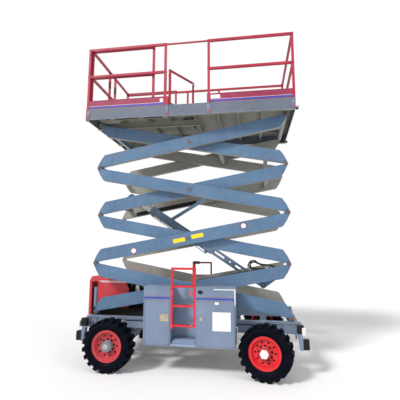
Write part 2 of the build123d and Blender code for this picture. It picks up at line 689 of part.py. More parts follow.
with BuildPart() as hood:
    hood_bottom = tray_top + SEAT
    with BuildSketch(Plane(origin=(HOOD_LEFT, 0, 0), x_dir=(0, 1, 0), z_dir=(1, 0, 0))):
        with BuildLine():
            Polyline((-HOOD_HALF, hood_bottom), (-HOOD_HALF, HOOD_SHOULDER), (-HOOD_FLAT, HOOD_TOP),
                     (HOOD_FLAT, HOOD_TOP), (HOOD_HALF, HOOD_SHOULDER), (HOOD_HALF, hood_bottom), close=True)
        make_face()
        with BuildLine():
            Polyline((-HOOD_HALF + HOOD_SHEET, hood_bottom), (-HOOD_HALF + HOOD_SHEET, HOOD_SHOULDER - 3),
                     (-HOOD_FLAT + 2, HOOD_TOP - HOOD_SHEET), (HOOD_FLAT - 2, HOOD_TOP - HOOD_SHEET),
                     (HOOD_HALF - HOOD_SHEET, HOOD_SHOULDER - 3), (HOOD_HALF - HOOD_SHEET, hood_bottom),
                     close=True)
        make_face(mode=Mode.SUBTRACT)
    extrude(amount=HOOD_RIGHT - HOOD_LEFT)
    bar(HOOD_LEFT, HOOD_LEFT + HOOD_SHEET, -HOOD_HALF + 3, HOOD_HALF - 3, hood_bottom, HOOD_SHOULDER)
    with BuildSketch(upright(0)):
        with BuildLine():
            Polyline((HOOD_ROOF_RIGHT, HOOD_SHOULDER), (HOOD_RIGHT + 1, HOOD_CORNER),
                     (HOOD_RIGHT + 1, HOOD_TOP + 1), (HOOD_ROOF_RIGHT, HOOD_TOP + 1), close=True)
        make_face()
    extrude(amount=HOOD_HALF + 1, both=True, mode=Mode.SUBTRACT)
    bar(VENT_LEFT, VENT_RIGHT, -HOOD_HALF - 1, HOOD_HALF + 1, hood_bottom + 50, HOOD_SHOULDER - 18,
        mode=Mode.SUBTRACT)
finish(hood.part, "engine_hood")

# Side cabinets with their doors
DOORS = (
    ("left", CABINET_LEFT, RECESS_LEFT),
    ("right", RECESS_RIGHT, CABINET_RIGHT),
)
for door, x0, x1 in DOORS:
    lap = DOOR_MARGIN + DOOR_OVERLAP
    with BuildPart() as cabinets:
        for side in (-1, 1):
            face = side * CABINET_FACE
            back = side * CABINET_BACK
            bar(x0, x1, back, face, CABINET_BOTTOM, CABINET_TOP)
            bar(x0 + SHEET, x1 - SHEET, back + side * SHEET, face - side * SHEET, CABINET_BOTTOM + SHEET,
                CABINET_TOP - SHEET, mode=Mode.SUBTRACT)
            bar(x0 + lap, x1 - lap, face - side * 2 * SHEET, face + side, CABINET_BOTTOM + lap,
                CABINET_TOP - DOOR_HEAD - DOOR_OVERLAP, mode=Mode.SUBTRACT)
            middle_of_bay = (x0 + x1) / 2
            bar(middle_of_bay - 60, middle_of_bay + 60, side * RAIL_Y, back, RAIL_TOP - 100, RAIL_TOP - 60)
    finish(cabinets.part, f"{door}_cabinets")
    for side, name in ((-1, "near"), (1, "far")):
        face = side * CABINET_FACE
        hinge_x = x0 + DOOR_MARGIN if door == "left" else x1 - DOOR_MARGIN
        latch_x = x1 - DOOR_MARGIN if door == "left" else x0 + DOOR_MARGIN
        door_bottom = CABINET_BOTTOM + DOOR_MARGIN
        door_top = CABINET_TOP - DOOR_HEAD
        with BuildPart() as leaf:
            bar(hinge_x, latch_x, face + side * SEAT, face + side * (SEAT + SHEET), door_bottom, door_top)
            with BuildSketch(Plane(origin=(hinge_x, face + side * (HINGE_R + SEAT), door_bottom))):
                Circle(HINGE_R)
            extrude(amount=door_top - door_bottom)
        finish(leaf.part, f"door_{name}_{door}")

# Panels of the recess between the cabinets
with BuildPart() as recesses:
    for side in (-1, 1):
        face = side * CABINET_FACE
        back = side * RECESS_BACK
        bar(RECESS_LEFT, RECESS_RIGHT, back - side * SHEET, back, CABINET_BOTTOM, CABINET_TOP)
        bar(RECESS_LEFT, RECESS_RIGHT, back, face, RECESS_FLOOR - SHEET, RECESS_FLOOR)
        bar(RECESS_LEFT, RECESS_RIGHT, face - side * SHEET, face, CABINET_BOTTOM, RECESS_FLOOR)
        bar(-60, 60, side * RAIL_Y, back - side * SHEET, RAIL_TOP - 100, RAIL_TOP - 60)
finish(recesses.part, "step_recesses")

# Steps in the recess
LADDER_TUBE = 32.0
LADDER_TOP = 1552.0
RUNG_TOPS = (728.0, 1010.0, 1290.0, 1552.0)
HANDLE_X = 118.0
HANDLE_TOP = 1645.0
with BuildPart() as ladders:
    left = RECESS_LEFT + SEAT
    right = RECESS_RIGHT - SEAT
    for side in (-1, 1):
        y0 = side * (CABINET_FACE - LADDER_TUBE)
        y1 = side * CABINET_FACE
        for x in (left, right - LADDER_TUBE):
            bar(x, x + LADDER_TUBE, y0, y1, RUNG_TOPS[0] - LADDER_TUBE, LADDER_TOP)
        for z in RUNG_TOPS:
            bar(left, right, y0, y1, z - LADDER_TUBE, z)
    grip_y = LADDER_TUBE - CABINET_FACE
    bar(HANDLE_X - 10, HANDLE_X + 10, grip_y, grip_y + 20, RUNG_TOPS[2] - LADDER_TUBE + 4, HANDLE_TOP)
    bar(HANDLE_X - 10, HANDLE_X + 100, grip_y, grip_y + 20, HANDLE_TOP - 20, HANDLE_TOP)
finish(ladders.part, "ladders")

# Tie-down lugs under the chassis ends
TIE_HOLE_R = 20.0
TIE_PLATE = 16.0
with BuildPart() as tie_lugs:
    lug_z = RAIL_TOP - RAIL_DEPTH - 60
    for x in (-1640, 1640):
        for side in (-1, 1):
            with BuildSketch(Plane(origin=(x, side * 560, lug_z), x_dir=(0, 1, 0), z_dir=(1, 0, 0))):
                with Locations((0, 30)):
                    Rectangle(90, 60)
                Circle(45)
                Circle(TIE_HOLE_R, mode=Mode.SUBTRACT)
            extrude(amount=TIE_PLATE / 2, both=True)
finish(tie_lugs.part, "tie_down_lugs")

# Platform
with BuildPart() as platform_frame:
    bar(DECK_LEFT, DECK_RIGHT, -DECK_Y, DECK_Y, frame_bottom, frame_top)
    bar(DECK_LEFT + FRAME_WALL, DECK_RIGHT - FRAME_WALL, -DECK_Y + FRAME_WALL, DECK_Y - FRAME_WALL,
        frame_bottom - 1, frame_top + 1, mode=Mode.SUBTRACT)
    for side in (-1, 1):
        wall = side * (DECK_Y - FRAME_WALL)
        bar(DECK_LEFT + FRAME_WALL, DECK_RIGHT - FRAME_WALL, wall, wall - side * FLANGE, frame_bottom,
            frame_bottom + FRAME_WALL)
    for x in (GATE_LEFT + RAIL_TUBE / 2, GATE_RIGHT + RAIL_TUBE / 2):
        bar(x - SOCKET / 2, x + SOCKET / 2, -DECK_Y - SOCKET_WALL, -DECK_Y,
            frame_bottom - 25, frame_top + 145)
finish(platform_frame.part, "platform_frame")

under = frame_top - DECK_PLATE
wall_y = DECK_Y - FRAME_WALL
with BuildPart() as deck:
    bar(DECK_LEFT + FRAME_WALL, DECK_RIGHT - FRAME_WALL, -wall_y, wall_y, under, frame_top)
    for x in (-1300, -800, -400, 50, 460, 800, 1210):
        bar(x - 20, x + 20, -wall_y, wall_y, under - RIB_DEPTH, under)
    for side in (-1, 1):
        with BuildSketch(upright(side * OUTER_ARM_Y)):
            with Locations((PIVOT_X, top_z)):
                Circle(ARM_BOSS_R)
            with Locations((PIVOT_X, (top_z + under) / 2)):
                Rectangle(2 * ARM_BOSS_R, under - top_z)
            with Locations((PIVOT_X, top_z)):
                Circle(END_PIN_R + FIT, mode=Mode.SUBTRACT)
        extrude(amount=TONGUE / 2, both=True)
        start = (-track_end, side * TRACK_Y, top_z)
        with BuildSketch(Plane(origin=start, x_dir=(0, side, 0), z_dir=(side, 0, 0))):
            with Locations((TRACK_DEPTH / 2, 0)):
                Rectangle(TRACK_DEPTH, 2 * (ROLLER_R + SEAT + TRACK_WALL))
            with Locations((TRACK_DEPTH / 2 + TRACK_WALL, 0)):
                Rectangle(TRACK_DEPTH, 2 * (ROLLER_R + SEAT), mode=Mode.SUBTRACT)
        extrude(amount=side * TRACK_LENGTH)
        for x in (-1300, -800, -400, 50):
            bar(x - 20, x + 20, side * TRACK_Y, side * (TRACK_Y + TRACK_DEPTH), top_z + ROLLER_R + SEAT,
                under - RIB_DEPTH)
        skid_y = side * (SKID_Y + SKID_WIDTH / 2)
        bar(-1600, -380, side * (SKID_Y - SKID_WIDTH / 2), skid_y,
            under - RIB_DEPTH - SKID_DEPTH, under - RIB_DEPTH)
    for y in (-300, -20):
        with BuildSketch(upright(y)):
            with BuildLine():
                Polyline((-170, under), (30, under), (-40, under - 105), (-100, under - 105), close=True)
            make_face()
        extrude(amount=4, both=True)
    with BuildSketch(Plane(origin=(-70, -300, under - 85), x_dir=(1, 0, 0), z_dir=(0, 1, 0))):
        Circle(30)
    extrude(amount=280)
finish(deck.part, "platform_deck")


def rail_panel(x0, x1, y0, y1, posts, heights, base):
    """A guard-rail panel: posts and level rails, in the current part."""
    for px, py in posts:
        bar(px, px + RAIL_TUBE, py, py + RAIL_TUBE, base, frame_top + heights[-1])
    for height in heights:
        bar(x0, x1, y0, y1, frame_top + height - RAIL_TUBE, frame_top + height)


with BuildPart() as near_rails:
    y0 = -DECK_Y
    y1 = RAIL_TUBE - DECK_Y
    for x0, x1 in ((DECK_LEFT, GATE_LEFT), (GATE_RIGHT, DECK_RIGHT)):
        rail_panel(x0, x1, y0, y1, [(x0, y0), (x1 - RAIL_TUBE, y0)], (MID_RAIL, RAIL_HEIGHT), frame_top)
finish(near_rails.part, "near_rails")

with BuildPart() as entry_bar:
    bar(GATE_LEFT + SEAT, GATE_RIGHT - SEAT, -DECK_Y + 8, -DECK_Y + 30, frame_top + RAIL_HEIGHT - 30,
        frame_top + RAIL_HEIGHT - 8)
finish(entry_bar.part, "entry_bar")

with BuildPart() as far_rails:
    y0 = DECK_Y - RAIL_TUBE
    posts = [(x, y0) for x in (DECK_LEFT, GATE_LEFT, GATE_RIGHT, DECK_RIGHT - RAIL_TUBE)]
    rail_panel(DECK_LEFT, DECK_RIGHT, y0, DECK_Y, posts, (MID_RAIL, RAIL_HEIGHT), frame_top)
    for height in (MID_RAIL, RAIL_HEIGHT):
        bar(DECK_RIGHT - RAIL_TUBE, DECK_RIGHT, RAIL_TUBE - DECK_Y + SEAT, DECK_Y,
            frame_top + height - RAIL_TUBE, frame_top + height)
finish(far_rails.part, "far_rails")

TOE_SHEET = 4.0
with BuildPart() as toe_boards:
    board_left = DECK_LEFT + RAIL_TUBE
    board_right = DECK_RIGHT - RAIL_TUBE
    board_top = frame_top + TOE_HEIGHT
    for x0, x1 in ((board_left, GATE_LEFT - RAIL_TUBE), (GATE_RIGHT + RAIL_TUBE, board_right)):
        bar(x0, x1, -DECK_Y + 4, -DECK_Y + 4 + TOE_SHEET, frame_top, board_top)
    bar(board_left, GATE_LEFT, DECK_Y - 8, DECK_Y - 4, frame_top, board_top)
    bar(GATE_LEFT + RAIL_TUBE, GATE_RIGHT, DECK_Y - 8, DECK_Y - 4, frame_top, board_top)
    bar(GATE_RIGHT + RAIL_TUBE, board_right, DECK_Y - 8, DECK_Y - 4, frame_top, board_top)
    bar(DECK_RIGHT - 8, DECK_RIGHT - 4, -DECK_Y + RAIL_TUBE, DECK_Y - RAIL_TUBE, frame_top, board_top)
finish(toe_boards.part, "toe_boards")

with BuildPart() as bumpers:
    for side in (-1, 1):
        with BuildSketch(upright(side * (DECK_Y - 40))):
            with Locations((DECK_RIGHT + SEAT + CORNER_ROLLER_R, frame_bottom + CORNER_ROLLER_R)):
                Circle(CORNER_ROLLER_R)
        extrude(amount=20, both=True)
finish(bumpers.part, "corner_rollers")

# Roll-out deck, drawn home
rollout_low = frame_top + SEAT
rollout_y = DECK_Y - RAIL_TUBE - 12
with BuildPart() as rollout_deck:
    bar(DECK_LEFT + 20, ROLLOUT_RIGHT, -rollout_y, rollout_y, rollout_low, rollout_low + ROLLOUT_PLATE)
    bar(DECK_LEFT, DECK_LEFT + 20, -rollout_y, rollout_y, rollout_low, rollout_low + TOE_HEIGHT)
finish(rollout_deck.part, "rollout_deck")

with BuildPart() as rollout_rails:
    base = rollout_low + ROLLOUT_PLATE
    for side in (-1, 1):
        y0, y1 = sorted((side * rollout_y, side * (rollout_y - RAIL_TUBE)))
        for x in (DECK_LEFT + 25, ROLLOUT_RIGHT - RAIL_TUBE):
            bar(x, x + RAIL_TUBE, y0, y1, base, frame_top + RAIL_HEIGHT)
        for height in (MID_RAIL, RAIL_HEIGHT):
            bar(DECK_LEFT + 25, ROLLOUT_RIGHT, y0, y1, frame_top + height - RAIL_TUBE, frame_top + height)
    for height in (MID_RAIL, RAIL_HEIGHT):
        bar(DECK_LEFT + 25, DECK_LEFT + 25 + RAIL_TUBE, -rollout_y, rollout_y,
            frame_top + height - RAIL_TUBE, frame_top + height)
    for y in (-150, 112):
        bar(DECK_LEFT + 25, DECK_LEFT + 25 + RAIL_TUBE, y, y + RAIL_TUBE, base, frame_top + RAIL_HEIGHT)
finish(rollout_rails.part, "rollout_rails")

# Entry gate, swung inward on the left gate post
gate_hinge = (GATE_LEFT + RAIL_TUBE + SEAT + GATE_TUBE / 2, -DECK_Y + RAIL_TUBE / 2)
gate_plane = Plane(
    origin=(*gate_hinge, 0),
    x_dir=(cos(radians(GATE_OPEN)), sin(radians(GATE_OPEN)), 0),
    z_dir=(sin(radians(GATE_OPEN)), -cos(radians(GATE_OPEN)), 0),
)
gate_base = frame_top + SEAT
with BuildPart() as gate:
    with BuildSketch(gate_plane):
        with Locations((GATE_LENGTH / 2, gate_base + 20 + GATE_HEIGHT / 2)):
            Rectangle(GATE_LENGTH, GATE_HEIGHT)
            Rectangle(GATE_LENGTH - 2 * GATE_TUBE, GATE_HEIGHT - 2 * GATE_TUBE, mode=Mode.SUBTRACT)
    extrude(amount=GATE_TUBE / 2 - 3, both=True)
    with BuildSketch(Plane(origin=(*gate_hinge, gate_base))):
        Circle(GATE_TUBE / 2)
    extrude(amount=GATE_HEIGHT + 20)
finish(gate.part, "entry_gate")

# Tube for the papers, inside the rail by the left gate post
with BuildPart() as document_tube:
    tube_y = -DECK_Y + RAIL_TUBE + SEAT + TUBE_R
    with BuildSketch(Plane(origin=(GATE_LEFT - RAIL_TUBE / 2, tube_y, frame_top + 290))):
        Circle(TUBE_R)
    extrude(amount=MID_RAIL - 290)
finish(document_tube.part, "document_tube")
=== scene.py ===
"""Finishes, small fittings, light and camera for a four-level rough-terrain scissor lift.

Metres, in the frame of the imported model: +X to the steered axle, +Y to the far side, +Z up.
"""

import json
from math import atan2, cos, pi, radians, sin

import bmesh
import bpy
from bpy.props import FloatProperty, FloatVectorProperty, PointerProperty
from mathutils import Matrix, Vector


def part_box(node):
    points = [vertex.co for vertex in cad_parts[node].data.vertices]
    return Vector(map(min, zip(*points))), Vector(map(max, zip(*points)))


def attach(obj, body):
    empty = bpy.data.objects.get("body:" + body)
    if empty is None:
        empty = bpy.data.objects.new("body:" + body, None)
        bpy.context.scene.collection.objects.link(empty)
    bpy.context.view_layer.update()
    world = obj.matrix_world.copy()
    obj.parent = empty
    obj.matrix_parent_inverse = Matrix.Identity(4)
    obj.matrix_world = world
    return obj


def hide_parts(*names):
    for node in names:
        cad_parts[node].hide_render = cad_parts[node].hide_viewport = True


bl_info = {
    "name": "Scissor Lift Dresser",
    "version": (1, 0, 0),
    "blender": (4, 5, 0),
    "location": "View3D > Sidebar > Scissor Lift",
    "description": "Paints and fits out a rough-terrain scissor lift",
    "category": "Object",
}

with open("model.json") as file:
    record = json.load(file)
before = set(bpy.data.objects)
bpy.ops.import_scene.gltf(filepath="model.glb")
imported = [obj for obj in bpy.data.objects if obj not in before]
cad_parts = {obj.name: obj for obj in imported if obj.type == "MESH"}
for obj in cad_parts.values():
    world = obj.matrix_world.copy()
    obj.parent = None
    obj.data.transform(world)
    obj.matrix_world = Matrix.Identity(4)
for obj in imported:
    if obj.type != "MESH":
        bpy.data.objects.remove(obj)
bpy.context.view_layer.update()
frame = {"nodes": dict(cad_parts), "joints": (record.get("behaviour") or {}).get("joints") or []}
NODES = frame["nodes"]
JOINTS = {joint["name"]: joint for joint in frame["joints"]}


# Places on the machine, read from the frame

def joint_point(name):
    """Where a hinge of the frame lies."""
    return Vector(JOINTS[name]["pos_m"])


RIGHT_PIVOT = joint_point("lift")
LEFT_PIVOT = joint_point("outer_joint_2")
PIN_LINE = LEFT_PIVOT - RIGHT_PIVOT
PIN_SPAN = PIN_LINE.length
ARM_DEPTH = 0.2
PIN_OFFSET = 0.106
HALF_LENGTH = ((PIN_SPAN / 2) ** 2 - PIN_OFFSET ** 2) ** 0.5
ARM_TILT = atan2(PIN_LINE.z, -PIN_LINE.x) - atan2(PIN_OFFSET, HALF_LENGTH)
OUTER_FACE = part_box("outer_frame_2")[1].y - 0.006
ARM_STEP = 0.1  # how much further in the inner arms' faces lie


def colour_setting(name, description, default):
    """A colour that can be set in the panel."""
    return FloatVectorProperty(name=name, description=description, subtype="COLOR", size=3, default=default)


class LiftColours(bpy.types.PropertyGroup):
    """Paints and finishes of the machine."""

    arm: colour_setting("Arm Paint", "Blue-grey paint of the arms", (0.08, 0.154, 0.266))
    body: colour_setting("Cabinet Paint", "Grey paint of the cabinets and chassis", (0.16, 0.213, 0.311))
    # Dust colour, also painted on faces that look down and inward as bounce light from the ground
    underside: colour_setting("Underside Dust", "Pale dust, and bounce light painted on faces that look down", (0.35, 0.33, 0.27))
    rail: colour_setting("Rail Paint", "Crimson paint of the guard rails", (0.37, 0.012, 0.042))
    toe: colour_setting("Toe Board Paint", "Faded crimson of the toe boards", (0.27, 0.019, 0.064))
    ladder: colour_setting("Ladder Paint", "Red of the steps and hoop", (0.56, 0.015, 0.03))
    hood: colour_setting("Hood Paint", "Weathered red of the engine hood", (0.5, 0.024, 0.04))
    rim: colour_setting("Rim Paint", "Red of the wheel rims", (0.62, 0.015, 0.022))
    driven_rim: colour_setting("Driven Rim Paint", "Duller red of the driven wheels' rims",
                               (0.48, 0.035, 0.048))
    stripe: colour_setting("Stripe Blue", "Blue of the stripes", (0.012, 0.068, 0.4))


class LiftStage(bpy.types.PropertyGroup):
    """Camera and light."""

    focal_length: FloatProperty(name="Focal Length", description="Camera focal length on a 36 mm sensor",
                                default=30.894, min=10.0, max=200.0, subtype="DISTANCE_CAMERA")
    camera_place: FloatVectorProperty(name="Camera Place", description="Where the camera stands",
                                      subtype="TRANSLATION", size=3, default=(1.003, -6.19, 1.861))
    camera_yaw: FloatProperty(name="Camera Yaw", description="Turn of the view to the left",
                              subtype="ANGLE", default=radians(8.61))
    camera_pitch: FloatProperty(name="Camera Pitch", description="Tilt of the view upward",
                                subtype="ANGLE", default=radians(7.784))
    camera_roll: FloatProperty(name="Camera Roll", description="Roll of the view",
                               subtype="ANGLE", default=radians(-0.129))
    sun_strength: FloatProperty(name="Key Strength", description="Strength of the key light",
                                default=2.6, min=0.0, max=20.0)
    fill_strength: FloatProperty(name="Fill Strength", description="Strength of the surrounding light",
                                 default=0.62, min=0.0, max=5.0)


# Node helpers

def group_with(name, inputs, outputs):
    """A new shader node group and its input and output nodes. Sockets are (name, type, default)."""
    tree = bpy.data.node_groups.new(name, "ShaderNodeTree")
    for label, kind, default in inputs:
        socket = tree.interface.new_socket(name=label, in_out="INPUT", socket_type=kind)
        if default is not None:
            socket.default_value = default
    for label, kind in outputs:
        tree.interface.new_socket(name=label, in_out="OUTPUT", socket_type=kind)
    return tree, tree.nodes.new("NodeGroupInput"), tree.nodes.new("NodeGroupOutput")


def node(tree, kind, settings=None, **inputs):
    """A node with its settings and its inputs, each a value or an output socket to link."""
    made = tree.nodes.new(kind)
    for key, value in (settings or {}).items():
        setattr(made, key, value)
    for key, value in inputs.items():
        label = key.replace("_", " ")
        socket = made.inputs[int(key[1:])] if key[0] == "i" and key[1:].isdigit() else made.inputs[label]
        if isinstance(value, bpy.types.NodeSocket):
            tree.links.new(value, socket)
        else:
            socket.default_value = value
    return made


def mix_colour(tree, factor, first, second, blend="MIX"):
    """The colour output of a Mix node."""
    mixer = tree.nodes.new("ShaderNodeMix")
    mixer.data_type = "RGBA"
    mixer.blend_type = blend
    for socket, value in ((mixer.inputs[0], factor), (mixer.inputs[6], first), (mixer.inputs[7], second)):
        if isinstance(value, bpy.types.NodeSocket):
            tree.links.new(value, socket)
        else:
            socket.default_value = value
    return mixer.outputs[2]


def ramp(tree, value, low, high, start=0.0, end=1.0):
    """A value mapped from low...high to start...end and clamped."""
    made = node(tree, "ShaderNodeMapRange", {"clamp": True}, Value=value, From_Min=low, From_Max=high,
                To_Min=start, To_Max=end)
    return made.outputs[0]


def noise(tree, vector, scale, detail=4.0, roughness=0.55):
    """The value of a noise texture."""
    made = node(tree, "ShaderNodeTexNoise", {}, Vector=vector, Scale=scale, Detail=detail,
                Roughness=roughness)
    return made.outputs[0]


def product(tree, first, second):
    """Two values multiplied."""
    return node(tree, "ShaderNodeMath", {"operation": "MULTIPLY"}, i0=first, i1=second).outputs[0]


def make_weather_group():
    """Mottling, a dust film, painted bounce light from the ground on faces that look down and on faces that
    look inward, chips with rust, and fine grain, for painted steel.
    """
    tree, source, result = group_with(
        "Weathered Coat",
        (("Vector", "NodeSocketVector", None), ("Paint", "NodeSocketColor", (0.5, 0.5, 0.5, 1)),
         ("Dust", "NodeSocketColor", (0.4, 0.35, 0.28, 1)), ("Underside", "NodeSocketFloat", 0.8),
         ("Film", "NodeSocketFloat", 0.15), ("Chips", "NodeSocketFloat", 0.3),
         ("Mottle", "NodeSocketFloat", 0.2), ("Inboard", "NodeSocketFloat", 0.0)),
        (("Color", "NodeSocketColor"), ("Roughness", "NodeSocketFloat"), ("Height", "NodeSocketFloat")),
    )
    place = source.outputs["Vector"]
    broad = noise(tree, place, 1.7, 3.0)
    cloudy = noise(tree, place, 9.0, 5.0, 0.6)
    fine = noise(tree, place, 70.0, 3.0)
    speck = noise(tree, place, 38.0, 2.0, 0.7)
    shade = ramp(tree, broad, 0.3, 0.7, -1.0, 1.0)
    strength = node(tree, "ShaderNodeMath", {"operation": "MULTIPLY_ADD"}, i0=shade,
                    i1=source.outputs["Mottle"], i2=1.0)
    toned = node(tree, "ShaderNodeVectorMath", {"operation": "SCALE"}, i0=source.outputs["Paint"],
                 Scale=strength.outputs[0])
    film = product(tree, ramp(tree, cloudy, 0.42, 0.72), source.outputs["Film"])
    dusty = mix_colour(tree, film, toned.outputs[0], source.outputs["Dust"])
    facing = tree.nodes.new("ShaderNodeNewGeometry")
    normal = node(tree, "ShaderNodeSeparateXYZ", {}, Vector=facing.outputs["Normal"])
    # Painted bounce light: faces that look down take the pale dust colour, as if lit from the ground
    down = product(tree, ramp(tree, normal.outputs["Z"], -0.35, -0.85), source.outputs["Underside"])
    # Painted bounce light on faces that look in towards the machine's middle, by the Inboard amount
    across = node(tree, "ShaderNodeSeparateXYZ", {}, Vector=place)
    side = node(tree, "ShaderNodeMath", {"operation": "SIGN"}, i0=across.outputs["Y"])
    inward = product(tree, side.outputs[0], normal.outputs["Y"])
    inward = product(tree, ramp(tree, inward, -0.35, -0.85), source.outputs["Inboard"])
    down = node(tree, "ShaderNodeMath", {"operation": "MAXIMUM"}, i0=down, i1=inward).outputs[0]
    down = product(tree, down, ramp(tree, cloudy, 0.15, 0.5, 0.75, 1.0))
    under = mix_colour(tree, down, dusty, source.outputs["Dust"])
    worn = product(tree, ramp(tree, speck, 0.7, 0.74), ramp(tree, broad, 0.45, 0.62))
    worn = product(tree, worn, source.outputs["Chips"])
    rusty = mix_colour(tree, ramp(tree, fine, 0.4, 0.6), (0.16, 0.05, 0.022, 1), (0.3, 0.12, 0.05, 1))
    colour = mix_colour(tree, worn, under, rusty)
    tree.links.new(colour, result.inputs["Color"])
    tree.links.new(ramp(tree, cloudy, 0.3, 0.7, 0.36, 0.6), result.inputs["Roughness"])
    grain = node(tree, "ShaderNodeMath", {"operation": "MULTIPLY_ADD"}, i0=worn, i1=-0.6,
                 i2=product(tree, fine, 0.25))
    tree.links.new(grain.outputs[0], result.inputs["Height"])
    return tree


def make_grime_group():
    """Fine soil that greys a dark or bare surface."""
    tree, source, result = group_with(
        "Fine Soil",
        (("Vector", "NodeSocketVector", None), ("Surface", "NodeSocketColor", (0.05, 0.05, 0.05, 1)),
         ("Soil", "NodeSocketColor", (0.2, 0.18, 0.15, 1)), ("Amount", "NodeSocketFloat", 0.3),
         ("Grain", "NodeSocketFloat", 60.0)),
        (("Color", "NodeSocketColor"), ("Roughness", "NodeSocketFloat"), ("Height", "NodeSocketFloat")),
    )
    place = source.outputs["Vector"]
    cloudy = noise(tree, place, 6.0, 5.0, 0.62)
    grain = noise(tree, place, source.outputs["Grain"], 3.0)
    amount = product(tree, ramp(tree, cloudy, 0.35, 0.75), source.outputs["Amount"])
    tree.links.new(mix_colour(tree, amount, source.outputs["Surface"], source.outputs["Soil"]),
                   result.inputs["Color"])
    tree.links.new(ramp(tree, cloudy, 0.3, 0.7, 0.45, 0.8), result.inputs["Roughness"])
    tree.links.new(grain, result.inputs["Height"])
    return tree


def grouped_material(name, group, inputs, bump, depth, metallic, specular):
    """A material whose colour, roughness and height come from a shared node group."""
    made = bpy.data.materials.new(name)
    made.use_nodes = True
    tree = made.node_tree
    shader = tree.nodes["Principled BSDF"]
    place = tree.nodes.new("ShaderNodeTexCoord").outputs["Object"]
    film = node(tree, "ShaderNodeGroup", {"node_tree": bpy.data.node_groups[group]}, Vector=place, **inputs)
    dent = node(tree, "ShaderNodeBump", {}, Strength=bump, Distance=depth, Height=film.outputs["Height"])
    tree.links.new(film.outputs["Color"], shader.inputs["Base Color"])
    tree.links.new(film.outputs["Roughness"], shader.inputs["Roughness"])
    tree.links.new(dent.outputs[0], shader.inputs["Normal"])
    shader.inputs["Metallic"].default_value = metallic
    shader.inputs["Specular IOR Level"].default_value = specular
    return made


def coat_material(name, colour, underside=0.8, film=0.15, chips=0.3, inboard=0.0):
    """Painted steel that has stood outside, with bounce light from the ground painted on its faces that look
    down and, by the inboard amount, on those that look inward.
    """
    inputs = {"Paint": (*colour, 1), "Dust": (*bpy.context.scene.lift_colours.underside, 1),
              "Underside": underside,
              "Film": film, "Chips": chips, "Mottle": 0.12, "Inboard": inboard}
    return grouped_material(name, "Weathered Coat", inputs, 0.25, 0.002, 0.0, 0.4)


def soiled_material(name, colour, soil, amount=0.3, grain=60.0, bump=0.3, metallic=0.0, specular=0.4):
    """Rubber, bare metal or plastic with fine soil on it."""
    inputs = {"Surface": (*colour, 1), "Soil": (*soil, 1), "Amount": amount, "Grain": grain}
    return grouped_material(name, "Fine Soil", inputs, bump, 0.0015, metallic, specular)


def make_materials():
    """Every finish of the machine, by name."""
    make_weather_group()
    make_grime_group()
    paint = bpy.context.scene.lift_colours
    # The arms take painted bounce light on their inward faces as well as on their undersides
    coat_material("arm paint", paint.arm, film=0.1, inboard=0.85)
    coat_material("cabinet paint", paint.body, underside=0.5, film=0.12)
    coat_material("frame paint", paint.body, film=0.25, chips=0.6)
    coat_material("recess paint", [1.35 * part for part in paint.body], underside=0.5, film=0.15)
    coat_material("deck paint", (0.112, 0.134, 0.178), underside=0.75, film=0.12, chips=0.9)
    coat_material("floor paint", (0.225, 0.222, 0.175), underside=0.4, film=0.2, chips=0.4)
    coat_material("rail paint", paint.rail, underside=0.05, film=0.03)
    coat_material("toe board paint", paint.toe, underside=0.2, film=0.08)
    coat_material("ladder paint", paint.ladder, underside=0.1, film=0.05)
    coat_material("hood paint", paint.hood, underside=0.2, film=0.12)
    coat_material("rim paint", paint.rim, underside=0.1, film=0.05)
    coat_material("driven rim paint", paint.driven_rim, underside=0.1, film=0.1)
    coat_material("stripe blue", paint.stripe, underside=0.0, film=0.05)
    # White of the plates, also used as the painted highlight along the right cabinet's sunlit edges
    coat_material("plate white and painted highlight", (0.8, 0.8, 0.78), underside=0.0, film=0.05, chips=0.1)
    # Faded white, also used as the painted highlight along the hood's shoulder
    coat_material("faded white and painted highlight", (0.74, 0.66, 0.68), underside=0.1, film=0.2, chips=0.4)
    coat_material("latch tan", (0.42, 0.33, 0.24), underside=0.1, film=0.3, chips=0.5)
    coat_material("plate yellow", (0.8, 0.6, 0.02), underside=0.0, film=0.03, chips=0.1)
    soil = (0.24, 0.2, 0.15)
    soiled_material("tyre rubber", (0.001, 0.0014, 0.004), (0.007, 0.01, 0.02), 0.5, grain=45.0,
                    specular=0.05)
    soiled_material("hose grey", (0.3, 0.3, 0.31), (0.2, 0.18, 0.15), 0.3)
    # Black rubber, also used as painted shade for the strips under the platform's fascia
    soiled_material("black rubber and painted shade", (0.006, 0.006, 0.007), (0.04, 0.038, 0.035), 0.3, specular=0.2)
    # Near-black iron of the engine, also used as painted shade on the slide tracks, the rails' slots and the
    # disc behind the rims' holes
    soiled_material("engine iron and painted shade", (0.006, 0.006, 0.007), (0.05, 0.04, 0.03), 0.4, metallic=0.1,
                    specular=0.2)
    soiled_material("bright rod", (0.62, 0.63, 0.65), soil, 0.1, metallic=0.95, bump=0.05)
    soiled_material("zinc", (0.45, 0.44, 0.4), soil, 0.3, metallic=0.7, bump=0.1)
    soiled_material("hub silver", (0.2, 0.22, 0.25), soil, 0.3, metallic=0.4, bump=0.1)
    soiled_material("cylinder paint", (0.13, 0.2, 0.3), soil, 0.2)
    soiled_material("pin brown", (0.16, 0.075, 0.035), (0.28, 0.16, 0.07), 0.6, metallic=0.3)
    soiled_material("tube plastic", (0.03, 0.42, 0.62), (0.2, 0.5, 0.6), 0.2, bump=0.05)


# Mesh helpers

def soften(mesh, edges, width, segments=1):
    """Rounds edges."""
    bmesh.ops.bevel(mesh, geom=edges, affect="EDGES", offset=width, segments=segments, profile=0.5,
                    material=-1, clamp_overlap=True)


def block(low, high, edge=0.002, segments=1):
    """A box between two corners with rounded edges."""
    mesh = bmesh.new()
    bmesh.ops.create_cube(mesh, size=1)
    low, high = Vector(low), Vector(high)
    bmesh.ops.scale(mesh, vec=high - low, verts=mesh.verts)
    bmesh.ops.translate(mesh, vec=(low + high) / 2, verts=mesh.verts)
    if edge:
        soften(mesh, mesh.edges[:], edge, segments)
    return mesh


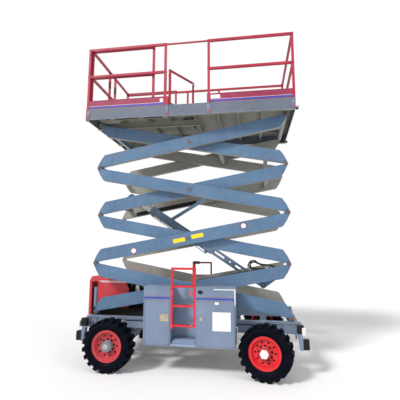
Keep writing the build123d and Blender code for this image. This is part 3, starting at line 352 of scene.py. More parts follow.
def plate(outline, thickness, edge=0.0):
    """A flat plate in X and Z with its back at y 0 and its face at -thickness."""
    mesh = bmesh.new()
    back = mesh.faces.new([mesh.verts.new((x, 0, z)) for x, z in outline])
    grown = bmesh.ops.extrude_face_region(mesh, geom=[back], use_keep_orig=True)["geom"]
    front = [part for part in grown if isinstance(part, bmesh.types.BMVert)]
    bmesh.ops.translate(mesh, vec=(0, -thickness, 0), verts=front)
    bmesh.ops.recalc_face_normals(mesh, faces=mesh.faces)
    if edge:
        rim = [line for line in mesh.edges if all(abs(end.co.y + thickness) < 1e-6 for end in line.verts)]
        soften(mesh, rim, edge)
    return mesh


def lathe(profile, steps=40):
    """A turned shape round the Y axis. Rows of the profile are radius and reach towards -Y."""
    mesh = bmesh.new()
    line = [mesh.verts.new((radius, -reach, 0)) for radius, reach in profile]
    for first, second in zip(line, line[1:]):
        mesh.edges.new((first, second))
    bmesh.ops.spin(mesh, geom=mesh.verts[:] + mesh.edges[:], cent=(0, 0, 0), axis=(0, 1, 0), dvec=(0, 0, 0),
                   angle=2 * pi, steps=steps, use_merge=True, use_duplicate=False)
    bmesh.ops.remove_doubles(mesh, verts=mesh.verts, dist=1e-5)
    bmesh.ops.recalc_face_normals(mesh, faces=mesh.faces)
    return mesh


def disc(radius, depth, edge=0.001, steps=28):
    """A round plate with a rounded rim, its back at y 0 and its face at -depth."""
    return lathe(((0, 0), (radius, 0), (radius, depth - edge), (radius - edge, depth), (0, depth)), steps)


def hexagon(radius, depth, edge=0.0015):
    """A hexagonal head, its back at y 0 and its face at -depth."""
    return plate([(radius * cos(pi * turn / 3), radius * sin(pi * turn / 3)) for turn in range(6)], depth,
                 edge)


def join(whole, shape, *places):
    """Sets copies of a shape into a larger mesh, one at each place, and uses the shape up."""
    scratch = bpy.data.meshes.new("scratch")
    for place in places or (Matrix(),):
        copy = shape.copy()
        copy.transform(place)
        copy.to_mesh(scratch)
        copy.free()
        whole.from_mesh(scratch)
    shape.free()
    bpy.data.meshes.remove(scratch)


def bolt(radius, depth=0.0):
    """A hexagonal bolt head on its washer, facing -Y."""
    mesh = disc(radius * 1.5, radius * 0.3, radius * 0.08, 16)
    join(mesh, hexagon(radius, depth or radius * 0.95, radius * 0.15))
    return mesh


def pipe(points, radius, sides=3):
    """A tube along a smooth curve, with closed ends."""
    curve = bpy.data.curves.new("run", "CURVE")
    curve.dimensions = "3D"
    curve.bevel_depth = radius
    curve.bevel_resolution = sides
    curve.resolution_u = 6
    curve.use_fill_caps = True
    spline = curve.splines.new("NURBS")
    spline.points.add(len(points) - 1)
    for control, place in zip(spline.points, points):
        control.co = (*place, 1)
    spline.order_u = 3
    spline.use_endpoint_u = True
    holder = bpy.data.objects.new("run", curve)
    data = bpy.data.meshes.new_from_object(holder)
    mesh = bmesh.new()
    mesh.from_mesh(data)
    bmesh.ops.remove_doubles(mesh, verts=mesh.verts, dist=1e-5)
    bmesh.ops.recalc_face_normals(mesh, faces=mesh.faces)
    bpy.data.objects.remove(holder)
    bpy.data.curves.remove(curve)
    bpy.data.meshes.remove(data)
    return mesh


def at(place, facing=(0, -1, 0), turn=0.0):
    """The place of a shape that is made facing -Y, set to face another way."""
    swing = Vector((0, -1, 0)).rotation_difference(Vector(facing)).to_matrix().to_4x4()
    return Matrix.Translation(place) @ swing @ Matrix.Rotation(turn, 4, "Y")


def moved(x, y, z):
    """A plain shift."""
    return Matrix.Translation((x, y, z))


FAR_SIDE = Matrix.Diagonal((1, -1, 1, 1))


def both_sides(*places):
    """Each place, or the shape's own, and its mirror image on the far side."""
    return [side @ place for place in places or (Matrix(),) for side in (Matrix(), FAR_SIDE)]


def pair(whole, shape, *places):
    """Joins copies of a shape at each place, or its own, and at their mirror images."""
    join(whole, shape, *both_sides(*places))


def ring_of(count, radius, reach, start=0.0):
    """Places on a circle round the Y axis."""
    turns = [start + 2 * pi * index / count for index in range(count)]
    return [moved(radius * cos(turn), -reach, radius * sin(turn)) for turn in turns]


def finish_piece(mesh, name, finish, body, sharp=34):
    """Makes a mesh a piece that rides on a body."""
    bmesh.ops.recalc_face_normals(mesh, faces=mesh.faces)
    data = bpy.data.meshes.new(name)
    mesh.to_mesh(data)
    mesh.free()
    piece = bpy.data.objects.new(name, data)
    bpy.context.scene.collection.objects.link(piece)
    data.materials.append(bpy.data.materials[finish])
    data.shade_smooth()
    data.set_sharp_from_angle(angle=radians(sharp))
    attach(piece, body)
    return piece


def arm_place(level, rises_right):
    """The middle of a level's arms: X along the arm to its right end, Z across it."""
    mirror = Matrix() if rises_right else Matrix.Diagonal((-1, 1, 1, 1))
    return Matrix.Translation(joint_point(f"crossing_{level}")) @ mirror @ Matrix.Rotation(-ARM_TILT, 4, "Y")


def wheel_place(wheel):
    """The middle of a wheel, with its outer side to -Y."""
    joint = JOINTS[f"wheel_{wheel}_spin"]
    across = Vector(joint["axis"])
    side = FAR_SIDE if wheel.startswith("far") else Matrix()
    return Matrix.Translation(joint["pos_m"]) @ Matrix.Rotation(atan2(-across.x, across.y), 4, "Z") @ side


NODE_FINISHES = (
    # start of the node's name, finish
    ("outer_frame", "arm paint"), ("inner_frame", "arm paint"), ("left_cabinets", "cabinet paint"),
    ("right_cabinets", "cabinet paint"), ("step_recesses", "recess paint"), ("door", "cabinet paint"),
    ("chassis_frame", "frame paint"), ("drive_axle", "frame paint"), ("steer_axle", "frame paint"),
    # slide_tracks take the near-black engine iron as painted shade, for the shadow they stand in
    ("knuckle", "frame paint"), ("tie_down", "frame paint"), ("slide_tracks", "engine iron and painted shade"),
    ("platform_frame", "deck paint"), ("platform_deck", "floor paint"), ("rollout_deck", "deck paint"),
    ("ladders", "ladder paint"), ("near_rails", "rail paint"), ("far_rails", "rail paint"),
    ("entry_bar", "rail paint"), ("rollout_rails", "rail paint"), ("entry_gate", "rail paint"),
    ("toe_boards", "toe board paint"), ("engine_hood", "hood paint"), ("engine", "engine iron and painted shade"),
    ("tyre", "tyre rubber"), ("rim_near_rear", "driven rim paint"), ("rim_far_rear", "driven rim paint"),
    ("rim", "rim paint"), ("end_blocks", "black rubber and painted shade"), ("corner_rollers", "black rubber and painted shade"),
    ("cylinder_rod", "bright rod"), ("cylinder_stage", "bright rod"), ("cylinder_barrel", "cylinder paint"),
    ("guide_strut", "arm paint"), ("hose_carrier", "black rubber and painted shade"), ("lift_hoses", "black rubber and painted shade"),
    ("document_tube", "tube plastic"),
)


class LIFT_OT_paint_nodes(bpy.types.Operator):
    """Give each piece of the frame its finish"""

    bl_idname = "lift.paint_nodes"
    bl_label = "Paint the Frame"

    def execute(self, context):
        make_materials()
        for name, piece in NODES.items():
            finish = next(label for start, label in NODE_FINISHES if name.startswith(start))
            piece.data.materials.clear()
            piece.data.materials.append(bpy.data.materials[finish])
        return {"FINISHED"}


WHEELS = (
    # wheel, is it steered
    ("near_rear", False), ("far_rear", False), ("near_front", True), ("far_front", True),
)
LUGS = 20
CARCASS = (
    # radius, reach from the tyre's middle; the other half mirrors it
    (0.205, 0.086), (0.2305, 0.0885), (0.238, 0.101), (0.252, 0.116), (0.262, 0.1185), (0.266, 0.124),
    (0.288, 0.13), (0.308, 0.131), (0.326, 0.127), (0.33, 0.1225), (0.344, 0.113), (0.351, 0.1),
    (0.354, 0.07), (0.355, 0.03),
)


class LIFT_OT_fit_wheels(bpy.types.Operator):
    """Make the lugged tyres, and the rims' rings, nuts, hubs and valves"""

    bl_idname = "lift.fit_wheels"
    bl_label = "Fit the Wheels"

    def execute(self, context):
        for wheel, steered in WHEELS:
            place = wheel_place(wheel)
            self.tyre(wheel, place)
            self.rim(wheel, place, steered)
            if steered:
                self.steered_hub(wheel, place)
            else:
                self.driven_hub(wheel, place)
        return {"FINISHED"}

    def tyre(self, wheel, place):
        """A carcass with two rows of chunky lugs that run over its shoulders."""
        mirrored = [(radius, -reach) for radius, reach in reversed(CARCASS)]
        mesh = lathe([*CARCASS, *mirrored, CARCASS[0]], 80)
        for row, side in ((0, 1), (1, -1)):
            lug = block((0.338, side * 0.003, -0.037), (0.3845, side * 0.122, 0.037), 0)
            heel = [vert for vert in lug.verts if abs(vert.co.y) > 0.1]
            for vert in heel:
                vert.co.z *= 0.8
                vert.co.y = side * (0.126 if vert.co.x > 0.36 else 0.1285)
                vert.co.x = 0.379 if vert.co.x > 0.36 else 0.314
            bmesh.ops.recalc_face_normals(lug, faces=lug.faces)
            soften(lug, lug.edges[:], 0.006, 2)
            turns = [2 * pi * (index + 0.5 * row) / LUGS for index in range(LUGS)]
            join(mesh, lug, *(Matrix.Rotation(turn, 4, "Y") for turn in turns))
            bead = lathe(((0.27, side * 0.1255), (0.2725, side * 0.129), (0.275, side * 0.1268)), 64)
            join(mesh, bead)
        mesh.transform(place)
        piece = finish_piece(mesh, f"tyre_carcass_{wheel}", "tyre rubber", f"wheel_{wheel}",
                             sharp=40)
        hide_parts(f"tyre_{wheel}")

    def rim(self, wheel, place, steered):
        """Rolled lip, pressed rings, nuts and valve stem, and a near-black disc behind the rim's disc,
        painted shade seen through its holes.
        """
        mesh = lathe(((0.2285, 0.088), (0.232, 0.096), (0.2335, 0.102), (0.23, 0.105), (0.2255, 0.103),
                      (0.224, 0.0975), (0.2285, 0.088)), 64)
        for radius, reach in ((0.1745, 0.05), (0.183, 0.06), (0.125, 0.0475), (0.11, 0.0475)):
            join(mesh, lathe(((radius - 0.0035, reach - 0.003), (radius, reach + 0.002),
                              (radius + 0.0035, reach - 0.003)), 56))
        mesh.transform(place)
        coat = "rim paint" if steered else "driven rim paint"
        finish_piece(mesh, f"rim_rings_{wheel}", coat, f"wheel_{wheel}")
        nuts = bmesh.new()
        join(nuts, bolt(0.0115, 0.018), *ring_of(9, 0.0955, 0.046, 0.2))
        stem = lathe(((0, 0), (0.005, 0), (0.005, 0.022), (0.0035, 0.024), (0.0035, 0.034), (0, 0.034)), 12)
        join(nuts, stem, moved(0.11, -0.062, -0.16))
        # Painted shade: a near-black ring behind the rim's disc darkens what shows through the hand holes
        painted_shade_disc = lathe(((0.06, 0.023), (0.16, 0.023), (0.16, 0.029), (0.06, 0.029), (0.06, 0.023)), 48)
        join(nuts, painted_shade_disc)
        nuts.transform(place)
        finish_piece(nuts, f"wheel_nuts_and_shade_disc_{wheel}", "engine iron and painted shade", f"wheel_{wheel}")

    def driven_hub(self, wheel, place):
        """The planetary hub: a silver drum with a bolted cover and a bright cap."""
        mesh = lathe(((0.0741, 0.046), (0.083, 0.047), (0.083, 0.056), (0.0765, 0.06), (0.0765, 0.106),
                      (0.08, 0.108), (0.08, 0.116), (0.077, 0.1195), (0.0385, 0.1195), (0.0385, 0.1185),
                      (0.0741, 0.1181), (0.0741, 0.046)), 48)
        for index in range(5):
            join(mesh, lathe(((0.0765, 0.066 + index * 0.008), (0.078, 0.069 + index * 0.008),
                              (0.0765, 0.072 + index * 0.008)), 48))
        join(mesh, bolt(0.0065), *ring_of(10, 0.063, 0.119))
        mesh.transform(place)
        finish_piece(mesh, f"hub_drum_{wheel}", "hub silver", f"wheel_{wheel}")
        cap = lathe(((0.0382, 0.119), (0.04, 0.12), (0.04, 0.129), (0.037, 0.1345), (0.018, 0.1365),
                     (0, 0.1365)), 40)
        join(cap, hexagon(0.01, 0.007), moved(0, -0.136, 0))
        cap.transform(place)
        finish_piece(cap, f"hub_cap_{wheel}", "zinc", f"wheel_{wheel}")

    def steered_hub(self, wheel, place):
        """The plain hub with its pale six-sided cap."""
        mesh = lathe(((0.0741, 0.046), (0.086, 0.047), (0.086, 0.054), (0.0755, 0.06), (0.0755, 0.115),
                      (0.0725, 0.1186), (0.0741, 0.1181), (0.0741, 0.046)), 48)
        mesh.transform(place)
        finish_piece(mesh, f"hub_drum_{wheel}", "driven rim paint", f"wheel_{wheel}")
        cap = hexagon(0.064, 0.033, 0.006)
        join(cap, disc(0.03, 0.036, 0.003), Matrix())
        join(cap, hexagon(0.012, 0.044), Matrix())
        cap.transform(place @ moved(0, -0.117, 0))
        finish_piece(cap, f"hub_cap_{wheel}", "plate white and painted highlight", f"wheel_{wheel}")


ARM_HALF = ARM_DEPTH / 2
LOW_DOUBLER = (
    (-HALF_LENGTH + 0.01, -PIN_OFFSET + 0.052), (-HALF_LENGTH + 0.056, -ARM_HALF + 0.008),
    (-HALF_LENGTH + 0.235, -ARM_HALF + 0.008), (-HALF_LENGTH + 0.31, ARM_HALF - 0.008),
    (-HALF_LENGTH + 0.13, ARM_HALF - 0.008), (-HALF_LENGTH + 0.053, -PIN_OFFSET + 0.118),
)
BLANK_PLATES = (
    # on the second level's near outer arm: along the arm, across it, length, depth
    (-0.161, -0.006, 0.2, 0.066), (0.145, 0.01, 0.2, 0.066),
)


class LIFT_OT_trim_arms(bpy.types.Operator):
    """Fit the arms' end plates, pins, stop pads and blank plates"""

    bl_idname = "lift.trim_arms"
    bl_label = "Trim the Arms"

    def execute(self, context):
        for level in range(1, 5):
            for kind, face in (("outer", OUTER_FACE), ("inner", OUTER_FACE - ARM_STEP)):
                place = arm_place(level, (level % 2 == 1) == (kind == "inner"))
                self.end_plates(level, kind, face, place)
                self.pins(level, kind, face, place)
        self.labels(arm_place(2, True))
        self.stops()
        return {"FINISHED"}

    def end_plates(self, level, kind, face, place):
        """Welded plates that double both ends of the arms, and the seams along their edges."""
        mesh = bmesh.new()
        half_turn = Matrix.Rotation(pi, 4, "Y")
        low = moved(0, -face, 0)
        pair(mesh, plate(LOW_DOUBLER, 0.004, 0.0012), place @ low, place @ half_turn @ low)
        for across in (ARM_HALF - 0.011, -ARM_HALF + 0.011):
            seam = block((-HALF_LENGTH + 0.26, -face - 0.0016, across - 0.003),
                         (HALF_LENGTH - 0.26, -face + 0.001, across + 0.003), 0.0012)
            pair(mesh, seam, place)
        finish_piece(mesh, f"{kind}_end_plates_{level}", "arm paint", f"{kind}_{level}")

    def pins(self, level, kind, face, place):
        """Keeper plates and pin faces at the ends, and the ring and bolt at the crossing."""
        steel = bmesh.new()
        brown = bmesh.new()
        for end in (-1, 1) if level == 1 else (1,):
            spot = moved(end * HALF_LENGTH, -face - 0.004, end * PIN_OFFSET)
            pair(brown, disc(0.024, 0.0075, 0.0015), place @ spot)
            keeper = plate([(-0.011, -0.045 * end), (0.011, -0.045 * end), (0.011, -0.022 * end),
                            (-0.011, -0.022 * end)], 0.005, 0.001)
            pair(steel, keeper, place @ spot)
            pair(steel, bolt(0.0065), place @ spot @ moved(0, -0.005, -0.034 * end))
        if kind == "outer":
            ring = lathe(((0.0335, 0), (0.048, 0), (0.048, 0.005), (0.046, 0.007), (0.0355, 0.007),
                          (0.0335, 0.005), (0.0335, 0)), 36)
            pair(steel, ring, place @ moved(0, -face, 0))
            pair(brown, disc(0.029, 0.0075, 0.002), place @ moved(0, -face, 0))
            pair(steel, bolt(0.01), place @ moved(0, -face - 0.007, 0))
        finish_piece(steel, f"{kind}_keepers_{level}", "arm paint", f"{kind}_{level}")
        finish_piece(brown, f"{kind}_pin_faces_{level}", "pin brown", f"{kind}_{level}")

    def labels(self, place):
        """Blank plates on the near arm, left without words or signs."""
        near = place @ moved(0, -OUTER_FACE, 0)
        for number, (along, across, length, depth) in enumerate(BLANK_PLATES):
            mesh = block((along - length / 2, -0.0014, across - depth / 2),
                         (along + length / 2, 0.0004, across + depth / 2), 0.0006)
            mesh.transform(near)
            finish_piece(mesh, f"blank_arm_plate_{number}", "plate yellow", "outer_2")
        rounds = bmesh.new()
        rings = bmesh.new()
        for along, across in ((-0.943, -0.033), (0.906, 0.029)):
            spot = near @ moved(along, 0, across)
            join(rounds, disc(0.04, 0.0012, 0.0004), spot)
            join(rings, lathe(((0.0385, 0), (0.047, 0), (0.047, 0.0016), (0.0385, 0.0016), (0.0385, 0)),
                              36), spot)
        finish_piece(rounds, "blank_round_plates", "plate white and painted highlight", "outer_2")
        finish_piece(rings, "round_plate_rings", "rail paint", "outer_2")

    def stops(self):
        """Red rubber stop pads on the middle levels."""
        pads = bmesh.new()
        for along, across in ((-0.064, -0.104), (-0.005, -0.104), (0.03, 0.104)):
            pad = block((along - 0.02, -0.582, across - 0.007), (along + 0.02, -0.548, across + 0.007),
                        0.003, 2)
            pair(pads, pad, arm_place(3, True))
        finish_piece(pads, "stop_pads", "rail paint", "inner_3")


CABINET_FACE = -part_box("left_cabinets")[0].y
DOOR_FACE = CABINET_FACE + 0.0053
DOOR_STRIP = 0.012
SIDES = (("near", Matrix()), ("far", FAR_SIDE))
# Bands painted along the cabinets. Columns: name, height above ground of the lower edge, depth, finish
CABINET_BANDS = (("blue", 1.0925, 0.024, "stripe blue"), ("thin_red", 1.124, 0.005, "rail paint"))
CABINETS = (
    # side of the steps, left end, right end
    ("left", -0.63, -0.215), ("right", 0.165, 0.745),
)
LATCHES = (
    # cabinet, middle along the machine, height, width, depth, finish of the tray
    ("left", -0.312, 0.822, 0.13, 0.104, "latch tan"), ("right", 0.256, 0.818, 0.11, 0.088, "cabinet paint"),
)


def rounded(width, height, radius, steps=4):
    """Outline of a rectangle with round corners, in X and Z about its middle."""
    points = []
    for x, z, start in ((1, 1, 0), (-1, 1, 1), (-1, -1, 2), (1, -1, 3)):
        for step in range(steps + 1):
            turn = pi / 2 * (start + step / steps)
            points.append((x * (width / 2 - radius) + radius * cos(turn),
                           z * (height / 2 - radius) + radius * sin(turn)))
    return points


class LIFT_OT_fit_cabinets(bpy.types.Operator):
    """Fit the cabinets' bands, latches, door frames, blank plates, lamps and trims"""

    bl_idname = "lift.fit_cabinets"
    bl_label = "Fit the Cabinets"

    def execute(self, context):
        self.bands()
        self.doors()
        self.latches()
        self.trims()
        return {"FINISHED"}

    def bands(self):
        """Painted bands over the doors, and the seam of the lids."""
        for name, low, depth, finish in CABINET_BANDS:
            mesh = bmesh.new()
            for _, left, right in CABINETS:
                band = block((left + 0.006, -CABINET_FACE - 0.0008, low),
                             (right - 0.006, -CABINET_FACE + 0.002,
                             low + depth), 0.0003)
                pair(mesh, band)
            finish_piece(mesh, f"cabinet_{name}_band", finish, "chassis")
        mesh = bmesh.new()
        for _, left, right in CABINETS:
            lid = block((left - 0.003, -CABINET_FACE - 0.004, 1.248), (right + 0.003, -0.727, 1.2685),
                        0.004, 2)
            pair(mesh, lid)
            sill = block((left + 0.002, -CABINET_FACE - 0.003, 0.418),
                         (right - 0.002, -CABINET_FACE + 0.004, 0.434),
                         0.0015)
            pair(mesh, sill)
            for x in (left + 0.05, right - 0.05):
                pair(mesh, bolt(0.007), at((x, -CABINET_FACE, 1.228)), at((x, -0.8, 1.2685), (0, 0, 1)))
        finish_piece(mesh, "cabinet_lids", "cabinet paint", "chassis")

    def doors(self):
        """Pressed frames, hinge knuckles and the lower red line on the doors."""
        for side, mirror in SIDES:
            for cabinet, left, right in CABINETS:
                low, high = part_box(f"door_{side}_{cabinet}")
                mesh = bmesh.new()
                hinge = joint_point(f"door_{side}_{cabinet}_hinge")
                start = low.x + (DOOR_STRIP if cabinet == "left" else 0.0)
                end = high.x - (DOOR_STRIP if cabinet == "right" else 0.0)
                for x0, x1, z0, z1 in ((start, end, high.z - DOOR_STRIP, high.z),
                                       (start, end, low.z, low.z + DOOR_STRIP),
                                       (start, start + DOOR_STRIP, low.z, high.z),
                                       (end - DOOR_STRIP, end, low.z, high.z)):
                    join(mesh, block((x0, -DOOR_FACE - 0.002, z0), (x1, -DOOR_FACE + 0.001, z1), 0.0012),
                         mirror)
                for z in (low.z + 0.09, (low.z + high.z) / 2, high.z - 0.09):
                    knuckle = lathe(((0, 0), (0.0086, 0), (0.0086, 0.072), (0, 0.072)), 16)
                    join(mesh, knuckle, at((hinge.x, hinge.y, z + 0.036), (0, 0, -1)))
                finish_piece(mesh, f"door_frame_{side}_{cabinet}", "cabinet paint",
                             f"door_{side}_{cabinet}")
                line = block((low.x + 0.014, -DOOR_FACE - 0.0006, 1.069),
                             (high.x - 0.014, -DOOR_FACE + 0.001, 1.073),
                             0.0002)
                line.transform(mirror)
                finish_piece(line, f"door_line_{side}_{cabinet}", "rail paint", f"door_{side}_{cabinet}")

    def latches(self):
        """Paddle latches in pressed trays, with their key barrels."""
        for side, mirror in SIDES:
            for cabinet, x, z, width, depth, finish in LATCHES:
                body = f"door_{side}_{cabinet}"
                spot = mirror @ at((x, -DOOR_FACE, z))
                tray = plate(rounded(width, depth, 0.016), 0.005, 0.0016)
                well = [face for face in tray.faces if face.normal.y < -0.9]
                bmesh.ops.inset_region(tray, faces=well, thickness=0.0085, depth=0.0)
                bmesh.ops.translate(tray, vec=(0, 0.0044, 0), verts=list({v for f in well for v in f.verts}))
                tray.transform(spot)
                finish_piece(tray, f"latch_tray_{side}_{cabinet}", finish, body)
                metal = bmesh.new()
                paddle = plate(rounded(width * 0.42, depth * 0.56, 0.008), 0.005, 0.0018)
                join(metal, paddle, spot @ moved(-width * 0.12, -0.0008, 0))
                join(metal, disc(0.01, 0.0058, 0.001), spot @ moved(width * 0.26, -0.0006, depth * 0.1))
                join(metal, block((-0.0012, -0.0068, -0.006), (0.0012, -0.005, 0.006), 0.0003),
                     spot @ moved(width * 0.26, 0, depth * 0.1))
                finish_piece(metal, f"latch_paddle_{side}_{cabinet}", "zinc", body)

    def trims(self):
        """Blank plates, pale strips painted as the sunlit edge of the right cabinet, lamps, tags and a drain
        rod.
        """
        for name, x0, x1, z0, z1 in (
            ("blank_square_plate", 0.412, 0.676, 0.658, 0.921),
            ("blank_small_plate", 0.448, 0.504, 1.026, 1.064),
        ):
            outline = [(x + (x0 + x1) / 2, z + (z0 + z1) / 2) for x, z in rounded(x1 - x0, z1 - z0, 0.004)]
            mesh = plate(outline, 0.001, 0.0004)
            mesh.transform(moved(0, -DOOR_FACE, 0))
            finish_piece(mesh, name, "plate white and painted highlight", "door_near_right")
        # Painted highlight: pale strips along the right cabinet's top and end stand for its sunlit edge
        # faces
        sunlit_edge = block((0.43, -CABINET_FACE - 0.0055, 1.234), (0.7475, -CABINET_FACE + 0.001, 1.248), 0.0012)
        join(sunlit_edge, block((0.733, -CABINET_FACE - 0.0055, 1.015), (0.7475, -CABINET_FACE + 0.001, 1.233),
                           0.0012))
        finish_piece(sunlit_edge, "painted_sunlit_edge", "plate white and painted highlight", "chassis")
        lamp = lathe(((0, 0), (0.03, 0), (0.032, 0.006), (0.03, 0.014), (0.024, 0.017), (0.021, 0.0135),
                      (0, 0.0145)))
        bmesh.ops.scale(lamp, vec=(1.15, 1, 0.72), verts=lamp.verts)
        lamps = bmesh.new()
        pair(lamps, lamp, at((0.232, -CABINET_FACE, 1.2)))
        finish_piece(lamps, "cabinet_lamps", "black rubber and painted shade", "chassis")
        for z0, z1, finish, name in ((1.006, 1.036, "rail paint", "red_tag"),
                                     (0.962, 1.004, "plate yellow", "yellow_tag")):
            tag = block((0.7455, -1.03, z0), (0.749, -1.004, z1), 0.0008)
            join(tag, disc(0.0028, 0.0012, 0.0003, 12), at((0.749, -1.017, z1 - 0.006), (1, 0, 0)))
            finish_piece(tag, name, finish, "chassis")
        rod = bmesh.new()
        join(rod, pipe([(0.768, -0.96, 0.7), (0.77, -0.96, 0.56), (0.769, -0.96, 0.47)], 0.005))
        join(rod, block((0.744, -0.968, 0.69), (0.774, -0.952, 0.704), 0.002))
        finish_piece(rod, "drain_rod", "plate white and painted highlight", "chassis")


# Tops of the rungs that have treads, and the steps' tubes
RUNG_TOPS = (0.728, 1.01, 1.29)
STILE = 0.032
STEP_WIDTH = 0.294 + STILE


class LIFT_OT_fit_steps(bpy.types.Operator):
    """Fit the treads, straps and sleeve of the steps, and the ledges behind them"""

    bl_idname = "lift.fit_steps"
    bl_label = "Fit the Steps"

    def execute(self, context):
        low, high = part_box("ladders")
        grips = bmesh.new()
        red = bmesh.new()
        steel = bmesh.new()
        left, right = low.x, low.x + STEP_WIDTH
        for top in RUNG_TOPS:
            for index in range(9):
                x = left + 0.042 + index * (right - left - 0.084) / 8
                rib = block((x - 0.01, low.y + 0.003, top - 0.0004),
                            (x + 0.01, low.y + 0.029, top + 0.0026), 0.001)
                pair(grips, rib)
        for x in (left + STILE / 2, right - STILE / 2):
            for z in (0.7, 1.18):
                strap = plate(rounded(0.044, 0.06, 0.006), 0.004, 0.001)
                pair(red, strap, at((x, low.y, z)))
                for dz in (-0.018, 0.018):
                    pair(steel, bolt(0.006), at((x, low.y - 0.004, z + dz)))
        finish_piece(grips, "step_treads", "black rubber and painted shade", "chassis")
        finish_piece(red, "step_straps", "ladder paint", "chassis")
        finish_piece(steel, "step_bolts", "zinc", "chassis")
        self.handle(low, high)
        self.recess()
        return {"FINISHED"}

    def handle(self, low, high):
        """Black sleeve on the hand bar of the steps."""
        sleeve = lathe(((0.0175, 0), (0.0205, 0.0015), (0.0205, 0.01), (0.019, 0.012), (0.0205, 0.014),
                        (0.0205, 0.09), (0.018, 0.0945), (0, 0.0955), (0, 0.09), (0.0175, 0.09),
                        (0.0175, 0)), 24)
        sleeves = bmesh.new()
        join(sleeves, sleeve, at((high.x - 0.09, low.y + 0.016, high.z - 0.016), (1, 0, 0)))
        finish_piece(sleeves, "handle_sleeves", "black rubber and painted shade", "chassis")

    def recess(self):
        """Foot ledges and bolts inside the step recesses."""
        mesh = bmesh.new()
        for z0, z1, y in ((0.478, 0.5, -0.96), (0.455, 0.479, -0.99)):
            pair(mesh, block((-0.205, y - 0.03, z0), (0.155, -0.812, z1), 0.003))
        for x in (-0.18, 0.13):
            for z in (0.56, 0.86, 1.18):
                pair(mesh, bolt(0.007), at((x, -0.806, z)))
        finish_piece(mesh, "recess_ledges", "recess paint", "chassis")


FILTER_Y, FILTER_Z = -0.19, 1.195


